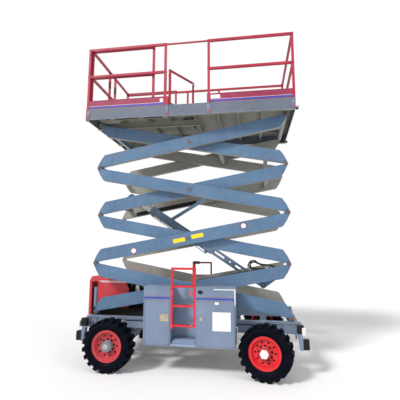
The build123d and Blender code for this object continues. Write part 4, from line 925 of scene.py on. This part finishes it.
class LIFT_OT_fit_hood(bpy.types.Operator):
    """Fit the hood's ridges, latches, louvres and pale bands, and the engine's fittings"""

    bl_idname = "lift.fit_hood"
    bl_label = "Fit the Hood and Engine"

    def execute(self, context):
        low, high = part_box("engine_hood")
        self.shell(low, high)
        self.bands(low)
        self.louvres(low)
        self.engine()
        return {"FINISHED"}

    def shell(self, low, high):
        """Pressed ridges, edge folds and toggle latches."""
        red = bmesh.new()
        face = -low.y
        for x0, x1, z0, z1 in ((-1.632, -1.088, 1.268, 1.28), (-1.632, -1.62, 0.76, 1.27),
                               (-1.1, -1.088, 0.8, 1.15)):
            pair(red, block((x0, -face - 0.004, z0), (x1, -face + 0.001, z1), 0.002))
        pair(red, block((low.x + 0.02, -0.375, high.z - 0.001), (high.x - 0.1, -0.36, high.z + 0.005),
                        0.002))
        for x in (-1.56, -1.2):
            join(red, block((x - 0.012, -0.3, high.z - 0.001), (x + 0.012, 0.3, high.z + 0.005), 0.002))
        finish_piece(red, "hood_ridges", "hood paint", "chassis")
        zinc = bmesh.new()
        for x in (-1.5, -1.2):
            keeper = plate(rounded(0.03, 0.06, 0.005), 0.004, 0.001)
            pair(zinc, keeper, at((x, -face, 0.815)))
            pair(zinc, block((x - 0.009, -face - 0.013, 0.79), (x + 0.009, -face - 0.004, 0.835), 0.003))
            pair(zinc, pipe([(x - 0.006, -face - 0.01, 0.79), (x - 0.006, -face - 0.012, 0.77),
                             (x + 0.006, -face - 0.012, 0.77), (x + 0.006, -face - 0.01, 0.79)], 0.002))
        finish_piece(zinc, "hood_latches", "zinc", "chassis")

    def bands(self, low):
        """Pale band along the shoulder, a painted highlight for the glare on the hood's top edge."""
        pale = bmesh.new()
        # Painted highlight: the band stands for glare along the hood's shoulder
        pair(pale, plate([(-1.632, 1.2845), (-1.6, 1.262), (-1.56, 1.254), (-1.11, 1.254), (-1.086, 1.243),
                          (-1.086, 1.248), (-1.104, 1.264), (-1.15, 1.2845)], 0.0042, 0.0005),
                          moved(0, low.y + 0.001, 0))
        finish_piece(pale, "hood_painted_highlight", "faded white and painted highlight", "chassis")

    def louvres(self, low):
        """Louvres pressed in the closed end."""
        mesh = bmesh.new()
        for row in range(9):
            z = 0.86 + row * 0.04
            for y0, y1 in ((-0.33, -0.02), (0.02, 0.33)):
                slat = block((low.x - 0.004, y0, z), (low.x + 0.002, y1, z + 0.022), 0)
                for vert in slat.verts:
                    if vert.co.z > z + 0.02 and vert.co.x < low.x:
                        vert.co.x = low.x - 0.0002
                soften(slat, slat.edges[:], 0.0008)
                join(mesh, slat)
        finish_piece(mesh, "hood_louvres", "hood paint", "chassis")

    def engine(self):
        """Pulley rims, hoses, filter bands, bolts, fuel line, fins, jar and caps of the engine."""
        rubber = bmesh.new()
        for radius, x in ((0.061, -0.908), (0.071, -0.968)):
            groove = lathe(((radius, 0), (radius + 0.007, 0.002), (radius + 0.007, 0.012), (radius, 0.014),
                            (radius, 0)), 32)
            join(rubber, groove, at((x, 0, 0.93 if radius < 0.07 else 1.09), (1, 0, 0)))
        for y, z0, z1 in ((-0.27, 1.05, 0.8), (-0.3, 0.98, 0.78), (0.22, 1.02, 0.8)):
            join(rubber, pipe([(-1.02, y, z0), (-0.93, y, z0 + 0.02), (-0.88, y - 0.02, (z0 + z1) / 2),
                               (-0.93, y - 0.03, z1), (-1.02, y, z1 - 0.01)], 0.014))
        join(rubber, pipe([(-0.88, FILTER_Y, FILTER_Z), (-0.84, -0.19, 1.19), (-0.835, -0.16, 1.09),
                           (-0.9, -0.06, 1.06), (-0.99, -0.02, 1.08)], 0.026))
        finish_piece(rubber, "engine_hoses", "black rubber and painted shade", "chassis")
        zinc = bmesh.new()
        for x in (-1.11, -0.9):
            band = lathe(((0.0785, 0), (0.0805, 0.001), (0.0805, 0.011), (0.0785, 0.012), (0.0785, 0)), 36)
            join(zinc, band, at((x, FILTER_Y, FILTER_Z), (1, 0, 0)))
        for y in (-0.15, -0.05, 0.05, 0.15):
            join(zinc, bolt(0.009), at((-0.959, y, 1.035), (1, 0, 0)), at((-0.959, y, 0.8), (1, 0, 0)))
        join(zinc, pipe([(-1.0, -0.285, 1.06), (-0.96, -0.3, 1.12), (-0.92, -0.32, 1.08),
                         (-0.915, -0.33, 0.99)],
                        0.006))
        for index in range(6):
            fin = block((-1.09 + index * 0.02, -0.252, 0.96), (-1.082 + index * 0.02, -0.225, 1.04), 0.001)
            join(zinc, fin)
        finish_piece(zinc, "engine_fittings", "zinc", "chassis")
        pale = bmesh.new()
        jar = lathe(((0, 0), (0.026, 0), (0.034, 0.008), (0.034, 0.07), (0.02, 0.082), (0.02, 0.096),
                     (0, 0.096)), 24)
        join(pale, jar, at((-0.985, -0.3, 1.1), (0, 0, 1)))
        finish_piece(pale, "coolant_jar", "plate white and painted highlight", "chassis")
        yellow = lathe(((0, 0), (0.018, 0), (0.018, 0.016), (0.014, 0.02), (0, 0.02)), 20)
        caps = bmesh.new()
        join(caps, yellow, at((-1.03, -0.18, 1.15), (0, 0, 1)), at((-1.3, 0.04, 1.19), (0, 0, 1)))
        finish_piece(caps, "filler_caps", "plate yellow", "chassis")


RAIL_FACE = 0.7
AXLE_X, AXLE_Z = -1.18, 0.385
TRACK_ROD_X = 1.065
RAIL_TOP = 0.745
END_BLOCKS = (
    # end of the machine, is it the upper block, finish of its facing
    (-1, True, "black rubber and painted shade"), (-1, False, "black rubber and painted shade"), (1, True, "faded white and painted highlight"),
    (1, False, "black rubber and painted shade"),
)


class LIFT_OT_fit_chassis(bpy.types.Operator):
    """Fit the chassis's painted slot shade, bolts, bumper facings, axle fittings and hoses"""

    bl_idname = "lift.fit_chassis"
    bl_label = "Fit the Chassis"

    def execute(self, context):
        self.rails()
        self.bumpers()
        self.axles()
        self.lines()
        return {"FINISHED"}

    def rails(self):
        """Top flanges, black strips painted as the shade inside the slots, ribs and bolts on the main rails,
        and the covers at their end.
        """
        dark = bmesh.new()
        # Painted shade: flat black strips stand for the shadowed insides of the rails' slots
        for x0, x1, z in ((-1.035, -0.64, 0.69), (-1.66, -1.56, 0.718), (0.76, 1.04, 0.685)):
            pair(dark, block((x0, -RAIL_FACE - 0.0012, z - 0.008), (x1, -RAIL_FACE + 0.001, z + 0.008),
                             0.0004))
        finish_piece(dark, "rail_slot_painted_shade", "engine iron and painted shade", "chassis")
        paint = bmesh.new()
        for x0, x1 in ((-1.69, -0.64), (0.755, 1.69)):
            pair(paint, block((x0, -RAIL_FACE - 0.01, RAIL_TOP - 0.01),
                              (x1, -RAIL_FACE + 0.012, RAIL_TOP + 0.003), 0.002))
        for x in (-1.64, -1.52, 1.42, 1.64):
            rib = plate([(x - 0.004, 0.6), (x + 0.004, 0.6), (x + 0.004, 0.735), (x - 0.004, 0.735)],
                        0.022, 0.001)
            pair(paint, rib, moved(0, -RAIL_FACE + 0.001, 0))
        finish_piece(paint, "rail_flanges", "frame paint", "chassis")
        bolts = bmesh.new()
        for x in (-1.67, -1.6, 1.6, 1.67):
            for z in (0.625, 0.7):
                pair(bolts, bolt(0.0085), at((x, -RAIL_FACE, z)))
        for x in (-1.62, 1.62):
            for z in (0.6, 0.64, 0.68):
                pair(bolts, bolt(0.0075), at((1.7 if x > 0 else -1.7, -0.56, z), (1 if x > 0 else -1, 0, 0)))
        finish_piece(bolts, "rail_bolts", "zinc", "chassis")
        cover = block((1.69, -0.8565, 0.5875), (1.744, -0.7635, 0.7045), 0.005, 2)
        mesh = bmesh.new()
        pair(mesh, cover)
        finish_piece(mesh, "end_covers", "faded white and painted highlight", "chassis")

    def bumpers(self):
        """Ribbed facings of the rubber end blocks."""
        low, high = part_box("end_blocks")
        for end, upper, finish in END_BLOCKS:
            reach = 1.74 if upper else high.x
            z0, z1 = (0.59, 0.7) if upper else (low.z + 0.012, low.z + 0.118)
            mesh = bmesh.new()
            for index in range(4):
                z = z0 + 0.008 + index * (z1 - z0 - 0.016) / 4
                rib = block((-0.0015, -0.852, z), (0.003, -0.768, z + (z1 - z0 - 0.016) / 5), 0.001)
                pair(mesh, rib, moved(end * reach, 0, 0) @ Matrix.Diagonal((end, 1, 1, 1)))
            label = f"{'left' if end < 0 else 'right'}_{'upper' if upper else 'lower'}"
            finish_piece(mesh, f"block_ribs_{label}", finish, "chassis")

    def axles(self):
        """Cover, bolts and collars of the drive axle; rod and eyes of the steering."""
        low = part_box("drive_axle")[0]
        paint = bmesh.new()
        cover = lathe(((0, 0), (0.118, 0), (0.118, 0.01), (0.104, 0.018), (0.07, 0.04), (0.03, 0.05),
                       (0, 0.051)), 36)
        join(paint, cover, at((low.x + 0.002, 0, AXLE_Z), (-1, 0, 0)))
        bolts = bmesh.new()
        join(bolts, bolt(0.007), *(at((low.x + 0.002, 0, AXLE_Z), (-1, 0, 0)) @ spot
                                   for spot in ring_of(10, 0.11, 0.01)))
        for y in (-0.62, -0.34, 0.34, 0.62):
            collar = lathe(((0.062, 0), (0.07, 0.003), (0.07, 0.015), (0.062, 0.018), (0.062, 0)), 32)
            join(paint, collar, moved(AXLE_X, y, AXLE_Z))
        finish_piece(paint, "axle_castings", "frame paint", "chassis")
        for y in (-0.84, 0.84):
            join(bolts, bolt(0.007), *(moved(AXLE_X, y, AXLE_Z) @ (Matrix() if y < 0 else FAR_SIDE) @ spot
                                        for spot in ring_of(8, 0.07, 0.0)))
        join(bolts, disc(0.008, 0.006), at((low.x - 0.04, 0, AXLE_Z), (-1, 0, 0)))
        finish_piece(bolts, "axle_bolts", "zinc", "chassis")
        rod = bmesh.new()
        join(rod, pipe([(TRACK_ROD_X, -0.3, AXLE_Z), (TRACK_ROD_X, 0.0, AXLE_Z),
                        (TRACK_ROD_X, 0.3, AXLE_Z)], 0.014))
        for y in (-0.3, 0.3):
            join(rod, lathe(((0, 0), (0.02, 0.003), (0.024, 0.012), (0.02, 0.024), (0, 0.027)), 20),
                 at((TRACK_ROD_X, y, 0.372), (0, 0, 1)))
        finish_piece(rod, "steering_rod", "bright rod", "chassis")

    def lines(self):
        """Hydraulic lines under the rails and at the axles."""
        mesh = bmesh.new()
        for offset, z in ((0.0, 0.56), (0.026, 0.548), (0.052, 0.556)):
            y = -0.585 + offset
            join(mesh, pipe([(-1.12, -0.3 + offset, 0.44), (-1.08, -0.42, 0.5), (-0.98, y, z),
                             (-0.6, y, z - 0.01),
                             (0.0, y, z), (0.6, y, z - 0.01), (0.98, y, z), (1.09, -0.4, 0.5),
                             (1.12, -0.26 + offset, 0.452)], 0.009, 2))
        finish_piece(mesh, "axle_hoses", "black rubber and painted shade", "chassis")
        clips = bmesh.new()
        for x in (-0.9, -0.45, 0.05, 0.5, 0.9):
            join(clips, block((x - 0.014, -0.612, 0.536), (x + 0.014, -0.505, 0.573), 0.004))
            join(clips, block((x - 0.01, -0.57, 0.57), (x + 0.01, -0.55, 0.582), 0.002))
        finish_piece(clips, "hose_clips", "zinc", "chassis")


HOSES = (
    # place across the machine, finish, and the run along the lowest inner arm and across it
    (-0.494, "black rubber and painted shade", ((1.425, 0.088), (1.34, 0.15), (1.19, 0.16), (1.11, 0.27), (1.0, 0.235),
                              (1.03, 0.112), (1.3, 0.096))),
    (-0.468, "black rubber and painted shade", ((1.425, 0.086), (1.345, 0.14), (1.2, 0.172), (1.12, 0.238), (1.028, 0.215),
                              (1.04, 0.114), (1.3, 0.093))),
    (-0.442, "hose grey", ((1.425, 0.084), (1.35, 0.14), (1.2, 0.156), (1.095, 0.242), (0.98, 0.212),
                           (1.005, 0.108), (1.3, 0.09))),
)


class LIFT_OT_fit_cylinder(bpy.types.Operator):
    """Fit the lift cylinder's glands, pins and pipe, the hoses at the joint and the hose carrier's links"""

    bl_idname = "lift.fit_cylinder"
    bl_label = "Fit the Cylinder and Hoses"

    def execute(self, context):
        joint = JOINTS["barrel_pivot"]
        slide = Vector(JOINTS["rod_slide"]["axis"])
        base = Vector(joint["pos_m"])
        turn = atan2(-slide.z, slide.x)
        along = Matrix.Translation(base) @ Matrix.Rotation(turn, 4, "Y")
        self.tube(along)
        self.hoses()
        self.carrier()
        return {"FINISHED"}

    def tube(self, along):
        """Gland rings, welds, port, feed pipe and pins of the cylinder."""
        axis = at((0, 0, 0), (1, 0, 0))
        paint = bmesh.new()
        gland = lathe(((0.0845, 0), (0.0885, 0.002), (0.0885, 0.03), (0.0845, 0.034), (0.0845, 0)), 40)
        join(paint, gland, along @ moved(2.33, 0, 0) @ axis, along @ moved(2.37, 0, 0) @ axis)
        for start in (1.075, 1.9):
            weld = lathe(((0.075, 0), (0.079, 0.004), (0.075, 0.01)), 36)
            join(paint, weld, along @ moved(start, 0, 0) @ axis)
        join(paint, block((1.11, -0.024, 0.066), (1.17, 0.024, 0.1), 0.004, 2), along)
        finish_piece(paint, "cylinder_glands", "cylinder paint", "barrel")
        steel = bmesh.new()
        join(steel, pipe([(1.14, 0, 0.1), (1.15, 0, 0.116), (1.19, 0, 0.112), (1.5, 0, 0.092),
                          (2.2, 0, 0.092),
                          (2.34, 0, 0.092), (2.37, 0, 0.084)], 0.0085))
        for x in (1.35, 1.75, 2.15):
            join(steel, block((x - 0.012, -0.016, 0.07), (x + 0.012, 0.016, 0.104), 0.003))
        nut = hexagon(0.017, 0.022)
        join(steel, nut, at((1.14, 0, 0.1), (0, 0, 1)))
        steel.transform(along)
        finish_piece(steel, "cylinder_pipe", "zinc", "barrel")
        lug_pins = bmesh.new()
        rings = bmesh.new()
        base = along.translation
        head = moved(base.x, -0.1185, base.z)
        pair(lug_pins, disc(0.023, 0.007, 0.002), head)
        pair(rings, lathe(((0.023, 0), (0.033, 0), (0.033, 0.005), (0.031, 0.0065), (0.0245, 0.0065),
                           (0.023, 0.005), (0.023, 0)), 32), head)
        finish_piece(lug_pins, "lug_pins", "hub silver", "inner_1")
        finish_piece(rings, "lug_rings", "engine iron and painted shade", "inner_1")
        pins = bmesh.new()
        pair(pins, disc(0.03, 0.01, 0.002), along @ moved(0, -0.0896, 0))
        pair(pins, bolt(0.007), along @ moved(0, -0.0996, 0))
        finish_piece(pins, "cylinder_pins", "pin brown", "barrel")

    def hoses(self):
        """Hoses that loop at the lowest right joint, with crimped ends and a clamp."""
        place = arm_place(1, True)
        for number, (y, finish, run) in enumerate(HOSES):
            mesh = pipe([(x, y, z) for x, z in run], 0.0105, 3)
            mesh.transform(place)
            piece = finish_piece(mesh, f"joint_hose_{number}", finish, "inner_1", sharp=60)
            if number == 0:
                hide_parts("lift_hoses")
        runs = bmesh.new()
        for y, lift in ((-0.505, 0.0), (-0.47, 0.003)):
            join(runs, pipe([(0.06, y, 0.09), (0.14, y, 0.098 + lift), (0.4, y + 0.004, 0.095 + lift),
                             (0.76, y, 0.099 + lift),
                             (1.08, y - 0.004, 0.096 + lift), (1.3, y, 0.099 + lift), (1.4, y, 0.092)],
                             0.0085, 2), place)
        finish_piece(runs, "arm_hoses", "black rubber and painted shade", "inner_1", sharp=60)
        ends = bmesh.new()
        for y, _, run in HOSES:
            crimp = lathe(((0, 0), (0.012, 0), (0.0135, 0.003), (0.0135, 0.028), (0.012, 0.031),
                           (0, 0.031)), 16)
            spots = [(run[0][0], y, run[0][1]), (run[-1][0], y, run[-1][1])]
            join(ends, crimp, *(place @ at(spot, (1, 0, -0.2)) for spot in spots))
            join(ends, hexagon(0.013, 0.012),
                 *(place @ at(Vector(spot) + Vector((0.026, 0, -0.005)), (1, 0, -0.2)) for spot in spots))
        join(ends, block((1.455, -0.51, 0.06), (1.475, -0.425, 0.104), 0.003), place)
        join(ends, block((1.34, -0.516, 0.07), (1.36, -0.425, 0.108), 0.003), place)
        join(ends, block((1.335, -0.5175, 0.07), (1.48, -0.512, 0.099), 0.002), place)
        finish_piece(ends, "hose_ends", "zinc", "inner_1")
        clamp = block((1.255, -0.512, 0.086), (1.305, -0.478, 0.109), 0.003)
        clamp.transform(place)
        finish_piece(clamp, "hose_clamp", "plate white and painted highlight", "inner_1")

    def carrier(self):
        """Links along the far arm's hose carrier."""
        place = arm_place(3, True)
        links = bmesh.new()
        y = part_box("hose_carrier")[0].y - 0.0005
        for index in range(30):
            along = -1.29 + index * 0.0405
            link = plate([(along, -0.086), (along + 0.034, -0.086), (along + 0.034, -0.03),
                          (along, -0.03)], 0.003, 0.0008)
            join(links, link, place @ moved(0, y, 0))
        finish_piece(links, "carrier_links", "black rubber and painted shade", "inner_3")


DECK_FACE = 0.93
GATE_TURN = radians(59.5)  # how far in the gate stands at rest
POSTS = (-1.724, -0.351, 0.344, 1.679)
FRAME_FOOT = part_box("platform_frame")[0].z
FRAME_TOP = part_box("toe_boards")[0].z
ROLLER_X, ROLLER_Z = -0.073, FRAME_TOP - 0.09


class LIFT_OT_fit_platform(bpy.types.Operator):
    """Fit the platform's sockets, pins, bands, plates, gate latch, grips, rollers and bolts"""

    bl_idname = "lift.fit_platform"
    bl_label = "Fit the Platform"

    def execute(self, context):
        self.boards()
        self.sockets()
        self.gate()
        self.grips()
        self.underside()
        return {"FINISHED"}

    def boards(self):
        """Bands on the near toe boards, the fascia's folds and the blank plates."""
        spans = ((-1.722, -0.408), (0.363, 1.674))
        y = -DECK_FACE + 0.004
        for name, z0, z1, finish in (("blue", 0.016, 0.042, "stripe blue"),
                                     ("pale", 0.048, 0.053, "faded white and painted highlight")):
            mesh = bmesh.new()
            for x0, x1 in spans:
                join(mesh, block((x0, y - 0.0008, FRAME_TOP + z0), (x1, y + 0.001, FRAME_TOP + z1), 0.0003))
            finish_piece(mesh, f"toe_{name}_band", finish, "platform")
        folds = bmesh.new()
        for x0, x1 in spans:
            pair(folds, block((x0, y - 0.004, FRAME_TOP + 0.144), (x1, y + 0.006, FRAME_TOP + 0.152),
                              0.0015))
            for index in range(5):
                x = x0 + 0.06 + index * (x1 - x0 - 0.12) / 4
                pair(folds, bolt(0.005), at((x, y, FRAME_TOP + 0.085)))
        finish_piece(folds, "toe_board_folds", "toe board paint", "platform")
        plates = bmesh.new()
        for x0, x1, z0, z1 in ((-0.475, -0.418, 0.06, 0.118), (0.372, 0.53, 0.062, 0.126)):
            join(plates, block((x0, y - 0.0014, FRAME_TOP + z0), (x1, y + 0.0006, FRAME_TOP + z1), 0.0005))
        finish_piece(plates, "blank_toe_plates", "plate white and painted highlight", "platform")
        edge = bmesh.new()
        for z in (FRAME_FOOT + 0.026, FRAME_TOP - 0.006):
            pair(edge, block((-1.755, -DECK_FACE - 0.0035, z - 0.004),
                             (1.707, -DECK_FACE + 0.001, z + 0.004), 0.0015))
        finish_piece(edge, "frame_folds", "frame paint", "platform")

    def sockets(self):
        """Sockets, pins, sleeves and welds of the near and far posts."""
        mesh = bmesh.new()
        pins = bmesh.new()
        for x in POSTS:
            cup = block((x - 0.028, -DECK_FACE - 0.011, FRAME_TOP - 0.17),
                        (x + 0.028, -DECK_FACE + 0.002, FRAME_TOP - 0.03), 0.003)
            pair(mesh, cup)
            head = lathe(((0, 0), (0.017, 0), (0.017, 0.008), (0.013, 0.012), (0, 0.012)), 18)
            pair(pins, head, at((x, -DECK_FACE - 0.0108, FRAME_TOP - 0.148)))
            ring = [(x + 0.016 * cos(t), -DECK_FACE - 0.018, FRAME_TOP - 0.11 + 0.016 * sin(t)) for t in
                    (pi / 2, pi * 0.15, -pi * 0.2, -pi / 2, -pi * 0.8, pi * 0.85, pi / 2)]
            pair(pins, pipe(ring, 0.0016, 1))
        finish_piece(mesh, "post_sockets", "frame paint", "platform")
        finish_piece(pins, "post_pins", "driven rim paint", "platform")
        sleeves = bmesh.new()
        for x in POSTS[1:3]:
            join(sleeves, block((x - 0.0272, -DECK_FACE - 0.0115, FRAME_TOP + 0.006),
                                (x + 0.0272, -DECK_FACE + 0.001, FRAME_TOP + 0.1465), 0.002))
        pair(sleeves, block((-1.766, -DECK_FACE - 0.006, FRAME_FOOT + 0.014),
                            (-1.7545, -DECK_FACE + 0.06, FRAME_TOP + 0.004), 0.002))
        finish_piece(sleeves, "post_sleeves", "rail paint", "platform")
        welds = bmesh.new()
        for x in (-1.741, -0.389, 0.344, 1.693):
            for z in (0.61, 1.105):
                bead = lathe(((0.0195, 0), (0.0225, 0.002), (0.0195, 0.004)), 16)
                for side in (-1, 1):
                    spot = (x + side * 0.019, -DECK_FACE + 0.019, FRAME_TOP + z - 0.019)
                    pair(welds, bead.copy(), at(spot, (side, 0, 0)))
                bead.free()
        finish_piece(welds, "rail_welds", "rail paint", "platform")

    def gate(self):
        """Hinge knuckles and a sprung latch on the entry gate."""
        low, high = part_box("entry_gate")
        hinge = joint_point("gate_hinge")
        mesh = bmesh.new()
        for z in (low.z + 0.1, high.z - 0.14):
            knuckle = lathe(((0, 0), (0.019, 0), (0.019, 0.05), (0, 0.05)), 20)
            join(mesh, knuckle, at((hinge.x, hinge.y, z + 0.05), (0, 0, -1)))
        finish_piece(mesh, "gate_knuckles", "rail paint", "gate")
        latch = bmesh.new()
        place = moved(hinge.x, hinge.y, 0) @ Matrix.Rotation(GATE_TURN, 4, "Z")
        join(latch, block((0.56, -0.026, high.z - 0.075), (0.605, -0.014, high.z - 0.035), 0.003), place)
        join(latch, pipe([(0.575, -0.03, high.z - 0.052), (0.62, -0.03, high.z - 0.052),
                          (0.64, -0.03, high.z - 0.06)],
                         0.005), place)
        finish_piece(latch, "gate_latch", "zinc", "gate")

    def grips(self):
        """Black sleeves on the roll-out deck's push handles."""
        sleeves = bmesh.new()
        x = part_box("rollout_rails")[0].x + 0.019
        for y in (-0.131, 0.131):
            sleeve = lathe(((0.0195, 0), (0.0235, 0.002), (0.0235, 0.15), (0.0195, 0.152), (0.0195, 0)), 20)
            join(sleeves, sleeve, at((x, y, FRAME_TOP + 0.9), (0, 0, -1)))
        finish_piece(sleeves, "handle_grips", "black rubber and painted shade", "rollout")

    def underside(self):
        """Roller, gussets, black strips painted as the shadowed gap under the fascia, rib bolts, roller caps
        and cables below the floor.
        """
        rollers = bmesh.new()
        ring = lathe(((0.016, 0), (0.048, 0), (0.052, 0.004), (0.052, 0.026), (0.048, 0.03), (0.016, 0.03),
                      (0.016, 0)), 36)
        join(rollers, ring, at((ROLLER_X, -0.285, ROLLER_Z)))
        for x in (-0.15, 0.004):
            gusset = plate([(x - 0.055, FRAME_TOP - 0.014), (x + 0.055, FRAME_TOP - 0.014),
                            (x + 0.012, FRAME_TOP - 0.052),
                            (x - 0.012, FRAME_TOP - 0.052)], 0.01, 0.001)
            join(rollers, gusset, moved(0, -0.3, 0))
        # Painted shade: thin black strips on the frame's lower flange stand for the shadowed gap between
        # flange and floor
        for x0, x1 in ((-1.745, -1.32), (-1.28, -0.82), (-0.78, -0.42)):
            join(rollers, block((x0 + 0.02, -0.908, FRAME_TOP - 0.188),
                                (x1 - 0.02, -0.872, FRAME_TOP - 0.184), 0.001))
        finish_piece(rollers, "deck_roller_and_shade_strips", "black rubber and painted shade", "platform")
        steel = bmesh.new()
        join(steel, bolt(0.013), at((ROLLER_X, -0.315, ROLLER_Z)))
        for x in (-1.12, -0.71, -0.38, 0.46, 0.774, 1.212):
            for y in (-0.78, -0.42, 0.42, 0.78):
                join(steel, bolt(0.007), at((x + 0.03, y, FRAME_TOP - 0.0125), (0, 0, -1)))
        finish_piece(steel, "deck_bolts", "zinc", "platform")
        cable = bmesh.new()
        high, sagged = FRAME_TOP - 0.036, FRAME_TOP - 0.048
        for y in (-0.56, 0.56):
            run = [(-1.6, y, high), (-0.9, y + 0.01, sagged), (-0.2, y, high), (0.5, y - 0.01, sagged),
                   (1.3, y, high), (1.6, y, high)]
            join(cable, pipe(run, 0.007, 2))
        finish_piece(cable, "deck_cable", "black rubber and painted shade", "platform")
        axles = bmesh.new()
        low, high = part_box("corner_rollers")
        cap = lathe(((0, 0), (0.012, 0), (0.012, 0.004), (0.006, 0.007), (0, 0.007)), 16)
        pair(axles, cap, at((low.x + 0.024, low.y, (low.z + high.z) / 2)))
        finish_piece(axles, "roller_caps", "zinc", "platform")


class LIFT_OT_stage(bpy.types.Operator):
    """Lay the floor, light the machine and set the camera"""

    bl_idname = "lift.stage"
    bl_label = "Set the Stage"

    def execute(self, context):
        scene = context.scene
        settings = scene.lift_stage
        scene.view_settings.view_transform = "Standard"
        mesh = bmesh.new()
        bmesh.ops.create_grid(mesh, x_segments=1, y_segments=1, size=40)
        data = bpy.data.meshes.new("floor")
        mesh.to_mesh(data)
        mesh.free()
        floor = bpy.data.objects.new("floor", data)
        scene.collection.objects.link(floor)
        data.materials.append(self.floor_material())
        self.world(scene, settings)
        self.lamps(scene, settings)
        self.camera(scene, settings)
        return {"FINISHED"}

    def floor_material(self):
        """A pale floor that the camera sees as white, and that keeps the shadow."""
        made = bpy.data.materials.new("pale floor")
        made.use_nodes = True
        tree = made.node_tree
        tree.nodes["Principled BSDF"].inputs["Base Color"].default_value = (0.86, 0.86, 0.86, 1)
        tree.nodes["Principled BSDF"].inputs["Roughness"].default_value = 0.9
        tree.nodes["Principled BSDF"].inputs["Specular IOR Level"].default_value = 0.1
        return made

    def world(self, scene, settings):
        """A plain white surround, softer on the object than in the view."""
        world = bpy.data.worlds.new("studio")
        scene.world = world
        world.use_nodes = True
        tree = world.node_tree
        tree.nodes.clear()
        path = tree.nodes.new("ShaderNodeLightPath")
        seen = path.outputs["Is Camera Ray"]
        for kind in ("Is Glossy Ray", "Is Transmission Ray"):
            seen = node(tree, "ShaderNodeMath", {"operation": "MAXIMUM"}, i0=seen,
                        i1=path.outputs[kind]).outputs[0]
        strength = node(tree, "ShaderNodeMapRange", {"clamp": True}, Value=seen,
                        To_Min=settings.fill_strength, To_Max=1.0).outputs[0]
        light = node(tree, "ShaderNodeBackground", {}, Color=(1, 1, 1, 1), Strength=strength)
        end = tree.nodes.new("ShaderNodeOutputWorld")
        tree.links.new(light.outputs[0], end.inputs[0])

    def lamps(self, scene, settings):
        """A soft key from the front left and a weak one from the right."""
        for label, turn, strength, angle in (
            ("key", (radians(48), radians(-12), radians(-28)), settings.sun_strength, radians(12)),
            ("side", (radians(62), 0, radians(60)), settings.sun_strength * 0.25, radians(30)),
        ):
            data = bpy.data.lights.new(label, "SUN")
            data.energy = strength
            data.angle = angle
            lamp = bpy.data.objects.new(label, data)
            lamp.rotation_euler = turn
            scene.collection.objects.link(lamp)

    def camera(self, scene, settings):
        """The camera at its place, turned by yaw, pitch and roll."""
        data = bpy.data.cameras.new("camera")
        data.sensor_width = 36.0
        data.lens = settings.focal_length
        data.clip_end = 200
        camera = bpy.data.objects.new("camera", data)
        turn = (
            Matrix.Rotation(settings.camera_yaw, 4, "Z")
            @ Matrix.Rotation(pi / 2 + settings.camera_pitch, 4, "X")
            @ Matrix.Rotation(-settings.camera_roll, 4, "Z")
        )
        camera.matrix_world = Matrix.Translation(settings.camera_place) @ turn
        scene.collection.objects.link(camera)
        scene.camera = camera


class LIFT_PT_panel(bpy.types.Panel):
    """The dresser's steps and settings"""

    bl_idname = "LIFT_PT_panel"
    bl_label = "Scissor Lift"
    bl_space_type = "VIEW_3D"
    bl_region_type = "UI"
    bl_category = "Scissor Lift"

    def draw(self, context):
        layout = self.layout
        for step in STEPS:
            layout.operator(step.bl_idname)
        for settings in (context.scene.lift_colours, context.scene.lift_stage):
            box = layout.box()
            for name in settings.__annotations__:
                box.prop(settings, name)


STEPS = (LIFT_OT_paint_nodes, LIFT_OT_fit_wheels, LIFT_OT_trim_arms, LIFT_OT_fit_cabinets,
         LIFT_OT_fit_steps, LIFT_OT_fit_hood, LIFT_OT_fit_chassis, LIFT_OT_fit_cylinder,
         LIFT_OT_fit_platform, LIFT_OT_stage)
CLASSES = (LiftColours, LiftStage, *STEPS, LIFT_PT_panel)


def register():
    """Add the classes and the scene's settings."""
    for cls in CLASSES:
        bpy.utils.register_class(cls)
    bpy.types.Scene.lift_colours = PointerProperty(type=LiftColours)
    bpy.types.Scene.lift_stage = PointerProperty(type=LiftStage)


def unregister():
    """Take the classes and the scene's settings away."""
    del bpy.types.Scene.lift_stage
    del bpy.types.Scene.lift_colours
    for cls in reversed(CLASSES):
        bpy.utils.unregister_class(cls)


def main():
    """Dress the machine, step by step."""
    register()
    for step in STEPS:
        family, action = step.bl_idname.split(".")
        getattr(getattr(bpy.ops, family), action)()


if __name__ == "__main__":
    main()
